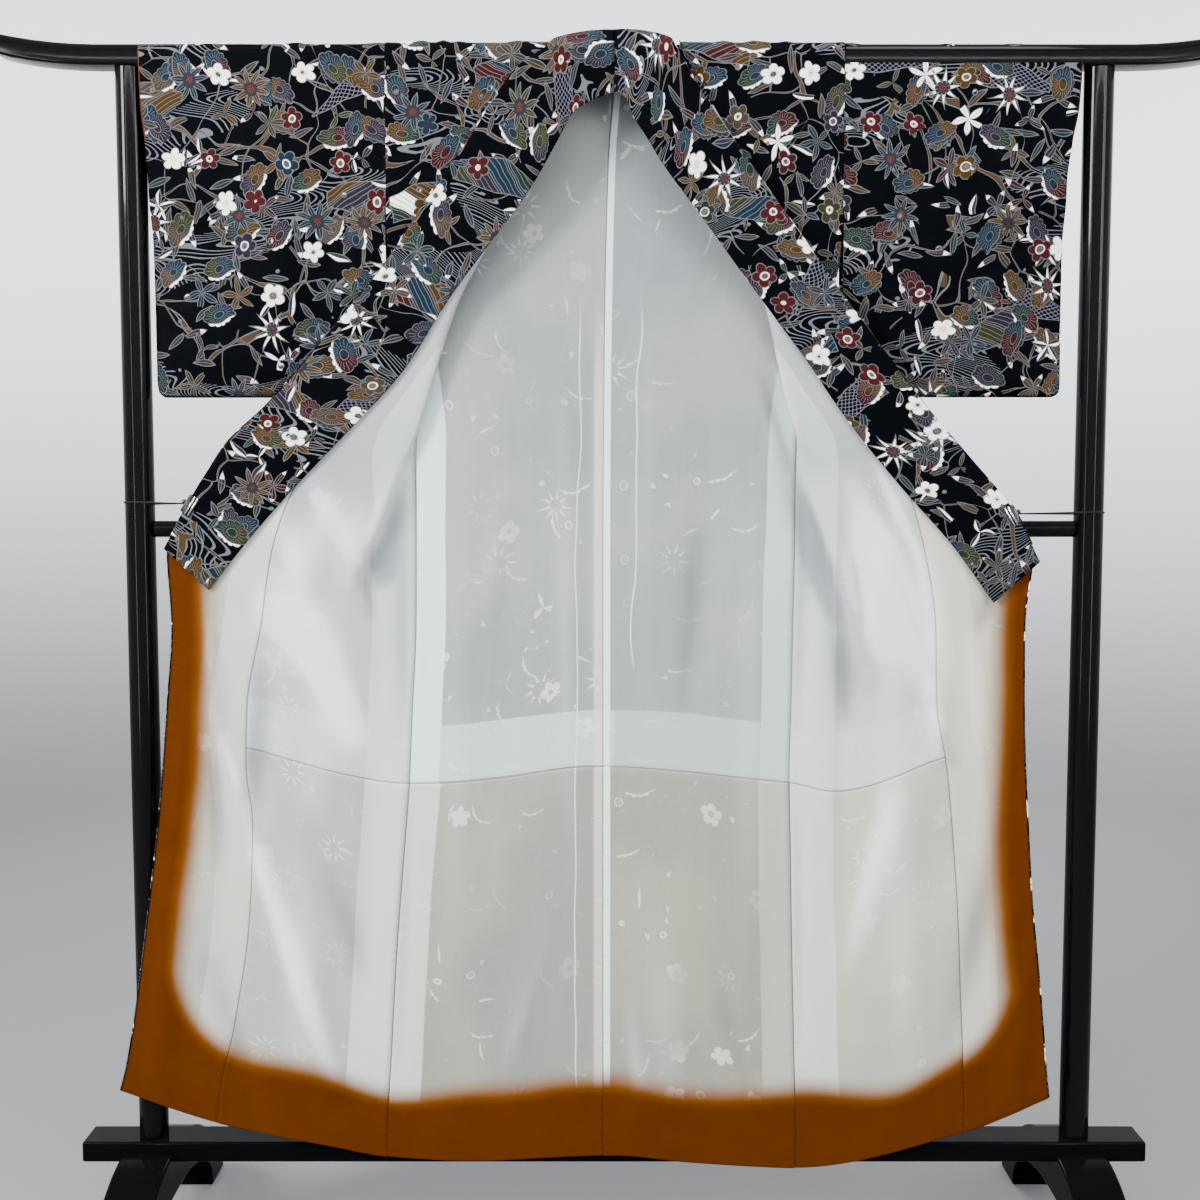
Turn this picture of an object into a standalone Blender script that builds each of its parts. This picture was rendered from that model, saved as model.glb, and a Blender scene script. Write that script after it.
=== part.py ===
"""Komon kimono, opened out on a lacquered kimono stand.

Units are metres, +Z is up, +X is to the right of someone who looks at the open kimono and +Y
points away from them. The origin is on the floor under the middle of the stand.
"""
import bpy
import bmesh
import math
from mathutils import Vector

# Cloth
OUTER = 0.0012            # wall of the printed silk
LINING = 0.0010           # wall of the lining
SEAM = 0.0003             # pieces lie this far apart at a seam
COLLAR_WALL = 0.0016
OVER_COLLAR_WALL = 0.0010

# Stand
RAIL_DEPTH = 0.044
RAIL_HEIGHT = 0.030
RAIL_TOP = 1.687
RAIL_HALF_LENGTH = 0.845
RAIL_CROWN = 0.015        # radius of the two upper edges
RAIL_FOOT = 0.004         # radius of the two lower edges
RAIL_TURN_UP = 0.016      # how far each tip rises
RAIL_TURN_START = 0.700
RAIL_TIP_SLANT = 0.008
POST_X = 0.660
POST_RADIUS = 0.0205
MID_RAIL_Z = 1.030
MID_RAIL_RADIUS = 0.0115
BEAM_TOP = 0.161
BEAM_HEIGHT = 0.029
BEAM_DEPTH = 0.060
BEAM_LENGTH = 1.510
FOOT_WIDTH = 0.072
FOOT_HALF_SPAN = 0.260
FOOT_CROWN = 0.146
FOOT_ARCH = 0.084
FOOT_PAD = 0.075
TOUCH = 0.0003            # clearance between parts of the stand that meet

# Kimono on the stand
SHOULDER_X = 0.310        # where the sleeve is sewn to the body
NECK_X = 0.086            # where the collar seam crosses the shoulder
NECK_DIP = 0.004          # the neck is its full width down to here below the rail's top
NECK_SHOULDER_SHARE = 0.7  # and this share of it on the rest of the rail's crown
REST = 0.0004             # the draped cloth's middle line, out from the rail
ARM_SEAM_END = 1.460      # the sleeve is sewn to the body down to here
SKIRT_TOP = 0.690         # seam between the upper lining and the skirt lining
LINING_TOP = 1.600
HEM = 0.139
HEM_FADE = 0.900          # the hem's rise dies out at this height
SLEEVE_BOTTOM = 1.211
SLEEVE_OPEN_X = 0.3115    # free inner edge of the sleeve
SLEEVE_CORNER = 0.014
SLEEVE_ROUND = 0.0030     # half the depth of the sleeve's bottom fold
SLEEVE_SEWN = 0.0014      # and where its outer edge is sewn up
COLLAR_NECK_SHARE = 0.50  # of the collar's distance from the rail, in the middle of the neck
STAND_UP = 0.0060         # how far a front's neck edge stands up from the shoulder
FOLD_STEPS = 4
HAIRPIN_HANDLE = 1.33     # curve handles of a sharp fold, as a share of its softness
SOFT_HANDLE = 0.45        # and of a flat one

# Rows of the back panel: height, depth, then how far the side reaches on the left and right
BACK = (
    # height, depth, left, right
    (1.640, 0.0222, 0.310, 0.310),
    (1.550, 0.0190, 0.310, 0.310),
    (1.450, 0.0100, 0.310, 0.310),
    (1.390, 0.0020, 0.308, 0.306),
    (1.330, -0.0060, 0.299, 0.293),
    (1.250, -0.0130, 0.284, 0.267),
    (1.150, -0.0165, 0.274, 0.251),
    (1.030, -0.0168, 0.274, 0.250),
    (0.900, -0.0185, 0.275, 0.248),
    (0.780, -0.0215, 0.281, 0.246),
    (0.690, -0.0240, 0.285, 0.244),
    (0.600, -0.0265, 0.292, 0.246),
    (0.450, -0.0310, 0.304, 0.249),
    (0.300, -0.0350, 0.313, 0.253),
    (0.180, -0.0375, 0.320, 0.256),
    (0.139, -0.0380, 0.321, 0.256),
)

# Rows of a front panel. It runs from the side seam to a fold, and turns back there to the seam
# that it shares with the collar, or lower down with the overlap panel.
FRONT_LEFT = (
    # height, fold, seam, fold radius, softness, side depth, fold depth, seam depth
    (1.656, 0.088, 0.099, 0.0030, 0.006, -0.0224, -0.0265, -0.0335),
    (1.640, 0.091, 0.138, 0.0045, 0.010, -0.0224, -0.0280, -0.0330),
    (1.600, 0.106, 0.166, 0.0050, 0.010, -0.0224, -0.0290, -0.0345),
    (1.550, 0.124, 0.200, 0.0050, 0.010, -0.0224, -0.0290, -0.0345),
    (1.500, 0.142, 0.237, 0.0050, 0.010, -0.0224, -0.0290, -0.0345),
    (1.450, 0.160, 0.262, 0.0050, 0.010, -0.0224, -0.0290, -0.0345),
    (1.400, 0.181, 0.275, 0.0050, 0.010, -0.0170, -0.0290, -0.0345),
    (1.350, 0.208, 0.298, 0.0050, 0.010, -0.0110, -0.0290, -0.0345),
    (1.300, 0.227, 0.324, 0.0045, 0.010, -0.0140, -0.0290, -0.0345),
    (1.250, 0.243, 0.351, 0.0035, 0.010, -0.0172, -0.0290, -0.0345),
    (1.200, 0.258, 0.379, 0.0035, 0.006, -0.0185, -0.0290, -0.0345),
    (1.150, 0.275, 0.407, 0.0015, 0.004, -0.0190, -0.0285, -0.0345),
    (1.100, 0.298, 0.434, 0.0000, 0.014, -0.0175, -0.0255, -0.0345),
    (1.000, 0.343, 0.471, 0.0000, 0.020, -0.0170, -0.0300, -0.0325),
    (0.900, 0.348, 0.487, 0.0000, 0.024, -0.0185, -0.0310, -0.0325),
    (0.780, 0.355, 0.509, 0.0000, 0.026, -0.0215, -0.0290, -0.0330),
    (0.690, 0.365, 0.512, 0.0000, 0.026, -0.0240, -0.0290, -0.0335),
    (0.600, 0.372, 0.503, 0.0000, 0.026, -0.0265, -0.0300, -0.0340),
    (0.450, 0.385, 0.511, 0.0000, 0.026, -0.0310, -0.0320, -0.0350),
    (0.300, 0.400, 0.533, 0.0000, 0.026, -0.0350, -0.0355, -0.0370),
    (0.180, 0.410, 0.556, 0.0000, 0.026, -0.0375, -0.0385, -0.0385),
    (0.139, 0.412, 0.560, 0.0000, 0.026, -0.0380, -0.0395, -0.0390),
)
FRONT_RIGHT = (
    # height, fold, seam, fold radius, softness, side depth, fold depth, seam depth
    (1.656, 0.088, 0.099, 0.0030, 0.006, -0.0224, -0.0265, -0.0335),
    (1.640, 0.090, 0.112, 0.0045, 0.010, -0.0224, -0.0280, -0.0330),
    (1.600, 0.106, 0.132, 0.0050, 0.010, -0.0224, -0.0290, -0.0345),
    (1.550, 0.126, 0.164, 0.0050, 0.010, -0.0224, -0.0290, -0.0345),
    (1.500, 0.145, 0.199, 0.0050, 0.010, -0.0224, -0.0290, -0.0345),
    (1.450, 0.164, 0.236, 0.0050, 0.010, -0.0224, -0.0290, -0.0345),
    (1.400, 0.183, 0.271, 0.0050, 0.010, -0.0170, -0.0290, -0.0345),
    (1.350, 0.201, 0.307, 0.0050, 0.010, -0.0110, -0.0290, -0.0345),
    (1.300, 0.214, 0.333, 0.0045, 0.010, -0.0140, -0.0290, -0.0345),
    (1.250, 0.224, 0.349, 0.0035, 0.010, -0.0172, -0.0290, -0.0345),
    (1.200, 0.236, 0.366, 0.0035, 0.006, -0.0185, -0.0290, -0.0345),
    (1.150, 0.253, 0.382, 0.0015, 0.004, -0.0190, -0.0285, -0.0345),
    (1.100, 0.276, 0.398, 0.0000, 0.014, -0.0175, -0.0245, -0.0345),
    (1.000, 0.306, 0.426, 0.0000, 0.020, -0.0170, -0.0285, -0.0325),
    (0.900, 0.320, 0.442, 0.0000, 0.024, -0.0185, -0.0310, -0.0325),
    (0.780, 0.335, 0.446, 0.0000, 0.026, -0.0215, -0.0290, -0.0330),
    (0.690, 0.345, 0.462, 0.0000, 0.026, -0.0240, -0.0290, -0.0335),
    (0.600, 0.352, 0.471, 0.0000, 0.026, -0.0265, -0.0300, -0.0340),
    (0.450, 0.360, 0.482, 0.0000, 0.026, -0.0310, -0.0320, -0.0350),
    (0.300, 0.368, 0.489, 0.0000, 0.026, -0.0350, -0.0355, -0.0370),
    (0.180, 0.372, 0.493, 0.0000, 0.026, -0.0375, -0.0385, -0.0385),
    (0.139, 0.372, 0.494, 0.0000, 0.026, -0.0380, -0.0395, -0.0390),
)

# The overlap panel's front edge: the collar seam down to the collar's end, then free
OVERLAP_EDGE_LEFT = (
    # height, reach, depth
    (1.430, 0.284, -0.0352), (1.400, 0.303, -0.0352), (1.350, 0.344, -0.0352),
    (1.300, 0.386, -0.0352), (1.250, 0.429, -0.0350), (1.200, 0.475, -0.0345),
    (1.150, 0.529, -0.0340), (1.100, 0.562, -0.0335), (1.050, 0.592, -0.0330),
    (1.000, 0.617, -0.0330), (0.900, 0.615, -0.0320), (0.780, 0.622, -0.0330),
    (0.690, 0.630, -0.0340), (0.600, 0.640, -0.0350), (0.450, 0.659, -0.0365),
    (0.300, 0.683, -0.0385), (0.180, 0.692, -0.0400), (0.139, 0.696, -0.0405),
)
OVERLAP_EDGE_RIGHT = (
    # height, reach, depth
    (1.320, 0.332, -0.0352), (1.300, 0.345, -0.0352), (1.250, 0.383, -0.0350),
    (1.200, 0.422, -0.0345), (1.150, 0.465, -0.0340), (1.100, 0.508, -0.0335),
    (1.050, 0.549, -0.0330), (1.000, 0.577, -0.0330), (0.900, 0.569, -0.0320),
    (0.780, 0.570, -0.0330), (0.690, 0.574, -0.0340), (0.600, 0.580, -0.0350),
    (0.450, 0.590, -0.0365), (0.300, 0.606, -0.0385), (0.180, 0.614, -0.0400),
    (0.139, 0.616, -0.0405),
)

# How much higher than HEM the hem hangs, across the whole width
HEM_RISE = (
    # x, rise
    (-0.700, 0.105), (-0.560, 0.056), (-0.400, 0.022), (-0.316, 0.006), (-0.200, 0.000),
    (0.000, 0.008), (0.120, -0.003), (0.255, -0.010), (0.490, 0.041), (0.620, 0.096),
)

# The collar band lies open, seam edge at the taut line. Heights above the rail are counted on
# over it: see hang().
COLLAR_LEFT = (
    # seam reach, seam height, free reach, free height
    (0.0000, 1.712, 0.0000, 1.618),
    (0.040, 1.712, 0.016, 1.613),
    (0.074, 1.702, 0.036, 1.604),
    (0.089, 1.680, 0.055, 1.592),
    (0.130, 1.651, 0.072, 1.562),
    (0.199, 1.551, 0.112, 1.492),
    (0.242, 1.494, 0.158, 1.430),
    (0.308, 1.393, 0.219, 1.350),
    (0.380, 1.307, 0.288, 1.245),
    (0.457, 1.217, 0.350, 1.178),
    (0.533, 1.142, 0.440, 1.085),
    (0.590, 1.057, 0.505, 1.012),
    (0.618, 1.004, 0.557, 0.947),
)
COLLAR_RIGHT = (
    # seam reach, seam height, free reach, free height
    (0.0000, 1.712, 0.0000, 1.618),
    (0.034, 1.712, 0.014, 1.611),
    (0.066, 1.702, 0.024, 1.588),
    (0.084, 1.672, 0.042, 1.560),
    (0.120, 1.612, 0.064, 1.524),
    (0.200, 1.498, 0.122, 1.446),
    (0.251, 1.429, 0.166, 1.386),
    (0.298, 1.363, 0.214, 1.322),
    (0.345, 1.300, 0.262, 1.258),
    (0.410, 1.214, 0.318, 1.178),
    (0.480, 1.134, 0.394, 1.086),
    (0.544, 1.058, 0.462, 1.010),
    (0.583, 0.986, 0.521, 0.930),
)
COLLAR_DEPTH = -0.0385    # middle of the collar's wall, in front of every panel
COLLAR_STEPS = 6
OVER_COLLAR_ROWS = 9      # the over-collar covers this many rows of the band

# Outer end of the sleeves: the wrist opening hangs a little past the sewn edge
SLEEVE_END_LEFT = (
    # height, reach
    (1.690, 0.644), (1.600, 0.641), (1.555, 0.636), (1.500, 0.633), (1.211, 0.632),
)
SLEEVE_END_RIGHT = (
    # height, reach
    (1.690, 0.633), (1.600, 0.628), (1.555, 0.620), (1.500, 0.614), (1.211, 0.616),
)
SLEEVE_STATIONS = (0.0, 0.25, 0.5, 0.75, 0.9, 0.965, 1.0)
SLEEVE_ROWS = (
    # height, depth of the two layers inside the sleeve, the same at the sewn end
    (1.640, 0.0228, 0.0228),
    (1.550, 0.0232, 0.0232),
    (1.480, 0.0232, 0.0200),
    (1.420, 0.0220, 0.0040),
    (1.340, 0.0180, 0.0018),
    (1.260, 0.0120, 0.0018),
    (1.225, 0.0070, 0.0018),
)

# Clips that hold the collar ends out, tied to the posts
CLIPS = (
    # name, side, seam reach, height, tilt in degrees
    ("left", -1, 0.5845, 1.066, 58.0),
    ("right", 1, 0.5485, 1.052, 60.0),
)
CLIP_LENGTH = 0.026
CLIP_GRIP = 0.012
CLIP_BAR = 0.0012
CLIP_CLEAR = 0.002        # from the collar seam to the inside of the clip's bend
CLIP_FRONT = -0.0396      # inner face of the front jaw
CLIP_BACK = -0.0312       # inner face of the back jaw
THREAD = 0.0006           # radius
LOOP_DROP = 0.004         # height between the thread's two strands
LOOP_STEPS = 20


def clear_scene():
    for thing in list(bpy.data.objects):
        bpy.data.objects.remove(thing)


def make_material(name, colour, roughness, metallic=0.0, coat=0.0):
    mat = bpy.data.materials.new(name)
    mat.use_nodes = True
    shader = mat.node_tree.nodes["Principled BSDF"]
    shader.inputs["Base Color"].default_value = (*colour, 1.0)
    shader.inputs["Roughness"].default_value = roughness
    shader.inputs["Metallic"].default_value = metallic
    shader.inputs["Coat Weight"].default_value = coat
    return mat


def finished_mesh(name, bm):
    bmesh.ops.recalc_face_normals(bm, faces=bm.faces)
    mesh = bpy.data.meshes.new(name)
    bm.to_mesh(mesh)
    bm.free()
    return mesh


def add_object(name, mesh, mat, smooth=True):
    mesh.materials.append(mat)
    thing = bpy.data.objects.new(name, mesh)
    PIECES.objects.link(thing)
    if smooth:
        mesh.shade_smooth()
        mesh.set_sharp_from_angle(angle=math.radians(35))
    return thing


def table_value(table, height, column):
    """Reads one column of a table at a height between two of its rows."""
    rows = sorted(table)
    if height <= rows[0][0]:
        return rows[0][column]
    for low, high in zip(rows, rows[1:]):
        if height <= high[0]:
            part = (height - low[0]) / (high[0] - low[0])
            return low[column] + (high[column] - low[column]) * part
    return rows[-1][column]


def hang(height, out):
    """Point (depth, height) of a cloth that hangs in front of the rail and runs over it.

    Up to the rail's crown the height is the real one. Past it the height is counted on along
    the cloth, over the crown and down the back. out is the distance from the rail's surface."""
    crown_z = RAIL_TOP - RAIL_CROWN
    crown_y = RAIL_DEPTH / 2 - RAIL_CROWN
    radius = RAIL_CROWN + out
    quarter = radius * math.pi / 2
    along = height - crown_z
    if along <= 0:
        return -crown_y - radius, height
    if along <= quarter:
        turn = along / radius
        return -crown_y - radius * math.cos(turn), crown_z + radius * math.sin(turn)
    along -= quarter
    if along <= 2 * crown_y:
        return -crown_y + along, crown_z + radius
    along -= 2 * crown_y
    if along <= quarter:
        turn = along / radius
        return crown_y + radius * math.sin(turn), crown_z + radius * math.cos(turn)
    return crown_y + radius, crown_z - (along - quarter)


def crown_nodes(out, steps=4):
    """Counted-on heights from the front of the rail to the middle of its top."""
    quarter = (RAIL_CROWN + out) * math.pi / 2
    crown_z = RAIL_TOP - RAIL_CROWN
    nodes = [crown_z + quarter * i / steps for i in range(steps + 1)]
    return nodes + [crown_z + quarter + RAIL_DEPTH / 2 - RAIL_CROWN - SEAM / 2]


def with_hem_rise(point):
    """Lifts a low point by the hem's rise at its x."""
    fade = max(0.0, (HEM_FADE - point.z) / (HEM_FADE - HEM))
    rise = table_value(HEM_RISE, point.x, 1)
    return Vector((point.x, point.y, point.z + rise * min(1.0, fade)))


def grid_normals(rows, closed=False):
    """Unit normals of a grid of points, from its neighbours along and across."""
    last_row = len(rows) - 1
    last = len(rows[0]) - 1
    normals = []
    for i, row in enumerate(rows):
        line = []
        for j in range(last + 1):
            if closed:
                across = row[(j + 1) % (last + 1)] - row[j - 1]
            else:
                across = row[min(j + 1, last)] - row[max(j - 1, 0)]
            down = rows[min(i + 1, last_row)][j] - rows[max(i - 1, 0)][j]
            line.append(across.cross(down).normalized())
        normals.append(line)
    return normals


def cloth(name, rows, mat, wall, start, side, closed=False):
    """A wall on one side of a grid of points: it starts this far out and is this thick.

    A closed grid runs all the way round, as a sleeve does."""
    normals = grid_normals(rows, closed)
    inner = [[p + n * start * side for p, n in zip(*pair)] for pair in zip(rows, normals)]
    outer = [[p + n * (start + wall) * side for p, n in zip(*pair)] for pair in zip(rows, normals)]
    bm = bmesh.new()
    near = [[bm.verts.new(point) for point in row] for row in inner]
    far = [[bm.verts.new(point) for point in row] for row in outer]
    last_row = len(rows) - 1
    last = len(rows[0]) - 1
    pairs = [(j, j + 1) for j in range(last)] + ([(last, 0)] if closed else [])
    for i in range(last_row):
        for j, k in pairs:
            for grid in (near, far):
                bm.faces.new((grid[i][j], grid[i + 1][j], grid[i + 1][k]))
                bm.faces.new((grid[i][j], grid[i + 1][k], grid[i][k]))
        for j in () if closed else (0, last):
            bm.faces.new((near[i][j], far[i][j], far[i + 1][j], near[i + 1][j]))
    for j, k in pairs:
        for i in (0, last_row):
            bm.faces.new((near[i][j], near[i][k], far[i][k], far[i][j]))
    return add_object(name, finished_mesh(name, bm), mat)


def inset(rows, first=SEAM, last=SEAM / 2):
    """Draws the two long edges of a grid back from the seams that they meet."""
    result = []
    for row in rows:
        row = list(row)
        row[0] = row[0] + (row[1] - row[0]).normalized() * first
        row[-1] = row[-1] + (row[-2] - row[-1]).normalized() * last
        result.append(row)
    return result


def ring_mesh(name, rings):
    """A solid through closed rings of points, capped at both ends."""
    bm = bmesh.new()
    loops = [[bm.verts.new(point) for point in ring] for ring in rings]
    count = len(loops[0])
    for one, two in zip(loops, loops[1:]):
        for j in range(count):
            k = (j + 1) % count
            bm.faces.new((one[j], one[k], two[k], two[j]))
    bm.faces.new(loops[0])
    bm.faces.new(loops[-1])
    return finished_mesh(name, bm)


def rail_section(steps=4):
    """The rail's outline in depth and height, round above and nearly square below."""
    half = RAIL_DEPTH / 2
    bottom = RAIL_TOP - RAIL_HEIGHT
    corners = (
        # depth, height, radius, first angle
        (half - RAIL_CROWN, RAIL_TOP - RAIL_CROWN, RAIL_CROWN, 0),
        (RAIL_CROWN - half, RAIL_TOP - RAIL_CROWN, RAIL_CROWN, 90),
        (RAIL_FOOT - half, bottom + RAIL_FOOT, RAIL_FOOT, 180),
        (half - RAIL_FOOT, bottom + RAIL_FOOT, RAIL_FOOT, 270),
    )
    points = []
    for depth, height, radius, first in corners:
        for i in range(steps + 1):
            turn = math.radians(first + 90 * i / steps)
            points.append((depth + radius * math.cos(turn), height + radius * math.sin(turn)))
    return points


def make_rail(mat):
    section = rail_section()
    run = RAIL_HALF_LENGTH - RAIL_TURN_START
    stations = [RAIL_TURN_START + run * i / 6 for i in range(7)]
    stations = [-x for x in reversed(stations)] + stations
    rings = []
    for x in stations:
        part = max(0.0, (abs(x) - RAIL_TURN_START) / run)
        lift = RAIL_TURN_UP * part ** 2
        ring = []
        for depth, height in section:
            slant = RAIL_TIP_SLANT * (RAIL_TOP - height) / RAIL_HEIGHT * part ** 8
            ring.append(Vector((math.copysign(abs(x) - slant, x), depth, height + lift)))
        rings.append(ring)
    add_object("rail", ring_mesh("rail", rings), mat)


def make_cylinder(name, radius, start, end, mat, sides=24):
    axis = Vector(end) - Vector(start)
    bpy.ops.mesh.primitive_cylinder_add(vertices=sides, radius=radius, depth=axis.length)
    made = bpy.context.object
    mesh = made.data
    turn = axis.to_track_quat("Z", "Y")
    for vert in mesh.vertices:
        vert.co = turn @ vert.co + (Vector(start) + Vector(end)) / 2
    bpy.data.objects.remove(made)
    mesh.name = name
    return add_object(name, mesh, mat)


def make_box(name, size, centre, mat, bevel):
    bm = bmesh.new()
    bmesh.ops.create_cube(bm, size=1.0)
    for vert in bm.verts:
        vert.co = Vector(v * s + c for v, s, c in zip(vert.co, size, centre))
    thing = add_object(name, finished_mesh(name, bm), mat, smooth=False)
    edge = thing.modifiers.new("edge", "BEVEL")
    edge.width = bevel
    edge.segments = 2
    return thing


def make_foot(name, x, mat):
    """An arched foot that runs from front to back, notched for the beam."""
    arch = [(-FOOT_HALF_SPAN, 0.0)]
    steps = 10
    notch = BEAM_DEPTH / 2 + TOUCH
    shoulder = BEAM_TOP - BEAM_HEIGHT - TOUCH
    for i in range(1, steps + 1):
        part = i / steps
        y = -FOOT_HALF_SPAN + (FOOT_HALF_SPAN - notch) * part
        arch.append((y, FOOT_CROWN * math.sin(part * math.pi / 2) ** 0.75))
    arch.append((-notch, shoulder))
    arch += [(-y, z) for y, z in reversed(arch)]
    inner = FOOT_HALF_SPAN - FOOT_PAD
    for i in range(13):
        turn = math.pi * i / 12
        arch.append((inner * math.cos(turn), FOOT_ARCH * math.sin(turn) ** 0.8 if 0 < i < 12 else 0.0))
    curve = bpy.data.curves.new(name, "CURVE")
    curve.dimensions = "2D"
    curve.fill_mode = "BOTH"
    curve.extrude = FOOT_WIDTH / 2
    line = curve.splines.new("POLY")
    line.points.add(len(arch) - 1)
    for point, (y, z) in zip(line.points, arch):
        point.co = (y, z, 0.0, 1.0)
    line.use_cyclic_u = True
    guide = bpy.data.objects.new(name + "_outline", curve)
    PIECES.objects.link(guide)
    mesh = bpy.data.meshes.new_from_object(guide.evaluated_get(bpy.context.evaluated_depsgraph_get()))
    bpy.data.objects.remove(guide)
    bm = bmesh.new()
    bm.from_mesh(mesh)
    bmesh.ops.remove_doubles(bm, verts=bm.verts, dist=0.00005)
    for vert in bm.verts:
        vert.co = Vector((x + vert.co.z, vert.co.x, vert.co.y))
    bpy.data.meshes.remove(mesh)
    return add_object(name, finished_mesh(name, bm), mat)


def make_stand(mat):
    make_rail(mat)
    post_top = RAIL_TOP - RAIL_HEIGHT - TOUCH
    for name, side in (("left", -1), ("right", 1)):
        x = side * POST_X
        base = (x, 0, BEAM_TOP + TOUCH)
        make_cylinder("post_" + name, POST_RADIUS, base, (x, 0, post_top), mat, 28)
        make_foot("foot_" + name, x, mat)
    reach = POST_X - POST_RADIUS - TOUCH
    make_cylinder("mid_rail", MID_RAIL_RADIUS, (-reach, 0, MID_RAIL_Z), (reach, 0, MID_RAIL_Z), mat)
    beam_z = BEAM_TOP - BEAM_HEIGHT / 2
    make_box("base_beam", (BEAM_LENGTH, BEAM_DEPTH, BEAM_HEIGHT), (0, 0, beam_z), mat, 0.003)


def back_rows(side, heights, columns=9):
    """Grid of one back panel, from its side seam to the centre back seam."""
    column = 2 if side < 0 else 3
    rows = []
    for height in heights:
        reach = table_value(BACK, height, column)
        depth = table_value(BACK, height, 1)
        row = []
        for j in range(columns):
            x = side * reach * (1 - j / (columns - 1))
            row.append(with_hem_rise(Vector((x, depth, height))))
        rows.append(row)
    return rows


def back_shoulder_rows(side, columns=9):
    """Rows of a back panel behind and over the rail. They leave the neck free."""
    rows = []
    for height in reversed(crown_nodes(REST)):
        depth, z = hang(height, REST)
        end = 0.0
        if z > RAIL_TOP - NECK_DIP:
            end = NECK_X
        elif height > crown_nodes(REST)[0]:
            end = NECK_X * NECK_SHOULDER_SHARE
        row = []
        for j in range(columns):
            x = side * (SHOULDER_X + (end - SHOULDER_X) * j / (columns - 1))
            row.append(Vector((x, -depth, z)))
        rows.append(row)
    return rows


def heights_between(table, top, bottom):
    inside = [row[0] for row in table if bottom < row[0] < top]
    return [top] + sorted(inside, reverse=True) + [bottom]


def make_back(name, side, silk, lining, skirt):
    top = BACK[0][0]
    rows = back_shoulder_rows(side) + back_rows(side, heights_between(BACK, top, HEM))
    rows = inset(rows)
    out = -side
    cloth("back_" + name, rows, silk, OUTER, SEAM / 2, out)
    upper = heights_between(BACK, LINING_TOP, SKIRT_TOP + SEAM / 2)
    lower = heights_between(BACK, SKIRT_TOP - SEAM / 2, HEM)
    cloth("back_lining_" + name, inset(back_rows(side, upper)), lining, LINING, SEAM / 2, -out)
    cloth("back_skirt_lining_" + name, inset(back_rows(side, lower)), skirt, LINING, SEAM / 2, -out)


def front_row(side, table, height):
    """One row of a front panel, from its side seam round the fold to its centre seam."""
    fold, seam, radius, soft, side_y, fold_y, seam_y = (
        table_value(table, height, column) for column in range(1, 8))
    reach = table_value(BACK, height, 2 if side < 0 else 3)
    start = Vector((reach, side_y, 0))
    corner = Vector((fold, fold_y, 0))
    end = Vector((seam, seam_y, 0))
    there = (corner - start).normalized()
    back = (end - corner).normalized()
    bend = (1 - there.dot(back)) / 2
    handle = SOFT_HANDLE + (HAIRPIN_HANDLE - SOFT_HANDLE) * bend ** 2
    into_reach = min(soft, (corner - start).length * 0.45)
    into = corner - there * into_reach + Vector((0, radius, 0))
    away = corner + back * soft - Vector((0, radius, 0))
    row = [start.lerp(into, j / 3) for j in range(4)]
    for j in range(1, FOLD_STEPS):
        t = j / FOLD_STEPS
        rise = into + there * into_reach * handle
        fall = away - back * soft * handle
        row.append(into * (1 - t) ** 3 + rise * 3 * t * (1 - t) ** 2
                   + fall * 3 * t ** 2 * (1 - t) + away * t ** 3)
    row += [away.lerp(end, j / 3) for j in range(4)]
    return [with_hem_rise(Vector((side * p.x, p.y, height))) for p in row]


def front_shoulder_rows(side):
    """Rows of a front panel over the rail. Their neck edge stands up into the collar seam."""
    rows = []
    for height in reversed(crown_nodes(REST)):
        row = []
        count = 7 + FOLD_STEPS
        for j in range(count):
            turn = max(0, j - 3) / (count - 4) * math.pi / 2
            x = SHOULDER_X + (NECK_X + STAND_UP - SHOULDER_X) * min(j / 3, 1.0)
            depth, z = hang(height, REST + STAND_UP * (1 - math.cos(turn)))
            row.append(Vector((side * (x - STAND_UP * math.sin(turn)), depth, z)))
        rows.append(row)
    return rows


def make_front(name, side, table, silk, lining, skirt):
    top = table[0][0]
    rows = front_shoulder_rows(side)
    rows += [front_row(side, table, h) for h in heights_between(table, top, HEM)]
    cloth("front_" + name, inset(rows), silk, OUTER, SEAM / 2, side)
    upper = heights_between(table, LINING_TOP, SKIRT_TOP + SEAM / 2)
    lower = heights_between(table, SKIRT_TOP - SEAM / 2, HEM)
    for part, mat, heights in (("lining_", lining, upper), ("skirt_lining_", skirt, lower)):
        rows = [front_row(side, table, h) for h in heights]
        cloth("front_" + part + name, inset(rows), mat, LINING, SEAM / 2, -side)


def make_overlap(name, side, table, edge, silk, skirt, columns=5):
    """The overlap panel between the front's centre seam and the kimono's front edge."""
    rows = []
    for height in heights_between(edge, edge[0][0], HEM):
        seam = Vector((table_value(table, height, 2), table_value(table, height, 7), height))
        rim = Vector((table_value(edge, height, 1), table_value(edge, height, 2), height))
        row = [seam.lerp(rim, j / (columns - 1)) for j in range(columns)]
        rows.append([with_hem_rise(Vector((side * p.x, p.y, p.z))) for p in row])
    rows = inset(rows, SEAM, 0.0)
    cloth("overlap_" + name, rows, silk, OUTER, SEAM / 2, side)
    cloth("overlap_lining_" + name, rows, skirt, LINING, SEAM / 2, -side)


def collar_rows(side, table):
    rows = []
    for seam_x, seam_z, free_x, free_z in table:
        row = []
        for j in range(COLLAR_STEPS + 1):
            part = j / COLLAR_STEPS
            x = seam_x + (free_x - seam_x) * part
            height = seam_z + (free_z - seam_z) * part
            out = -COLLAR_DEPTH - RAIL_DEPTH / 2
            out *= min(1.0, COLLAR_NECK_SHARE + x / NECK_X * (1 - COLLAR_NECK_SHARE))
            depth, z = hang(height, out)
            row.append(Vector((side * x, depth, z)))
        rows.append(row)
    return rows


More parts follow.
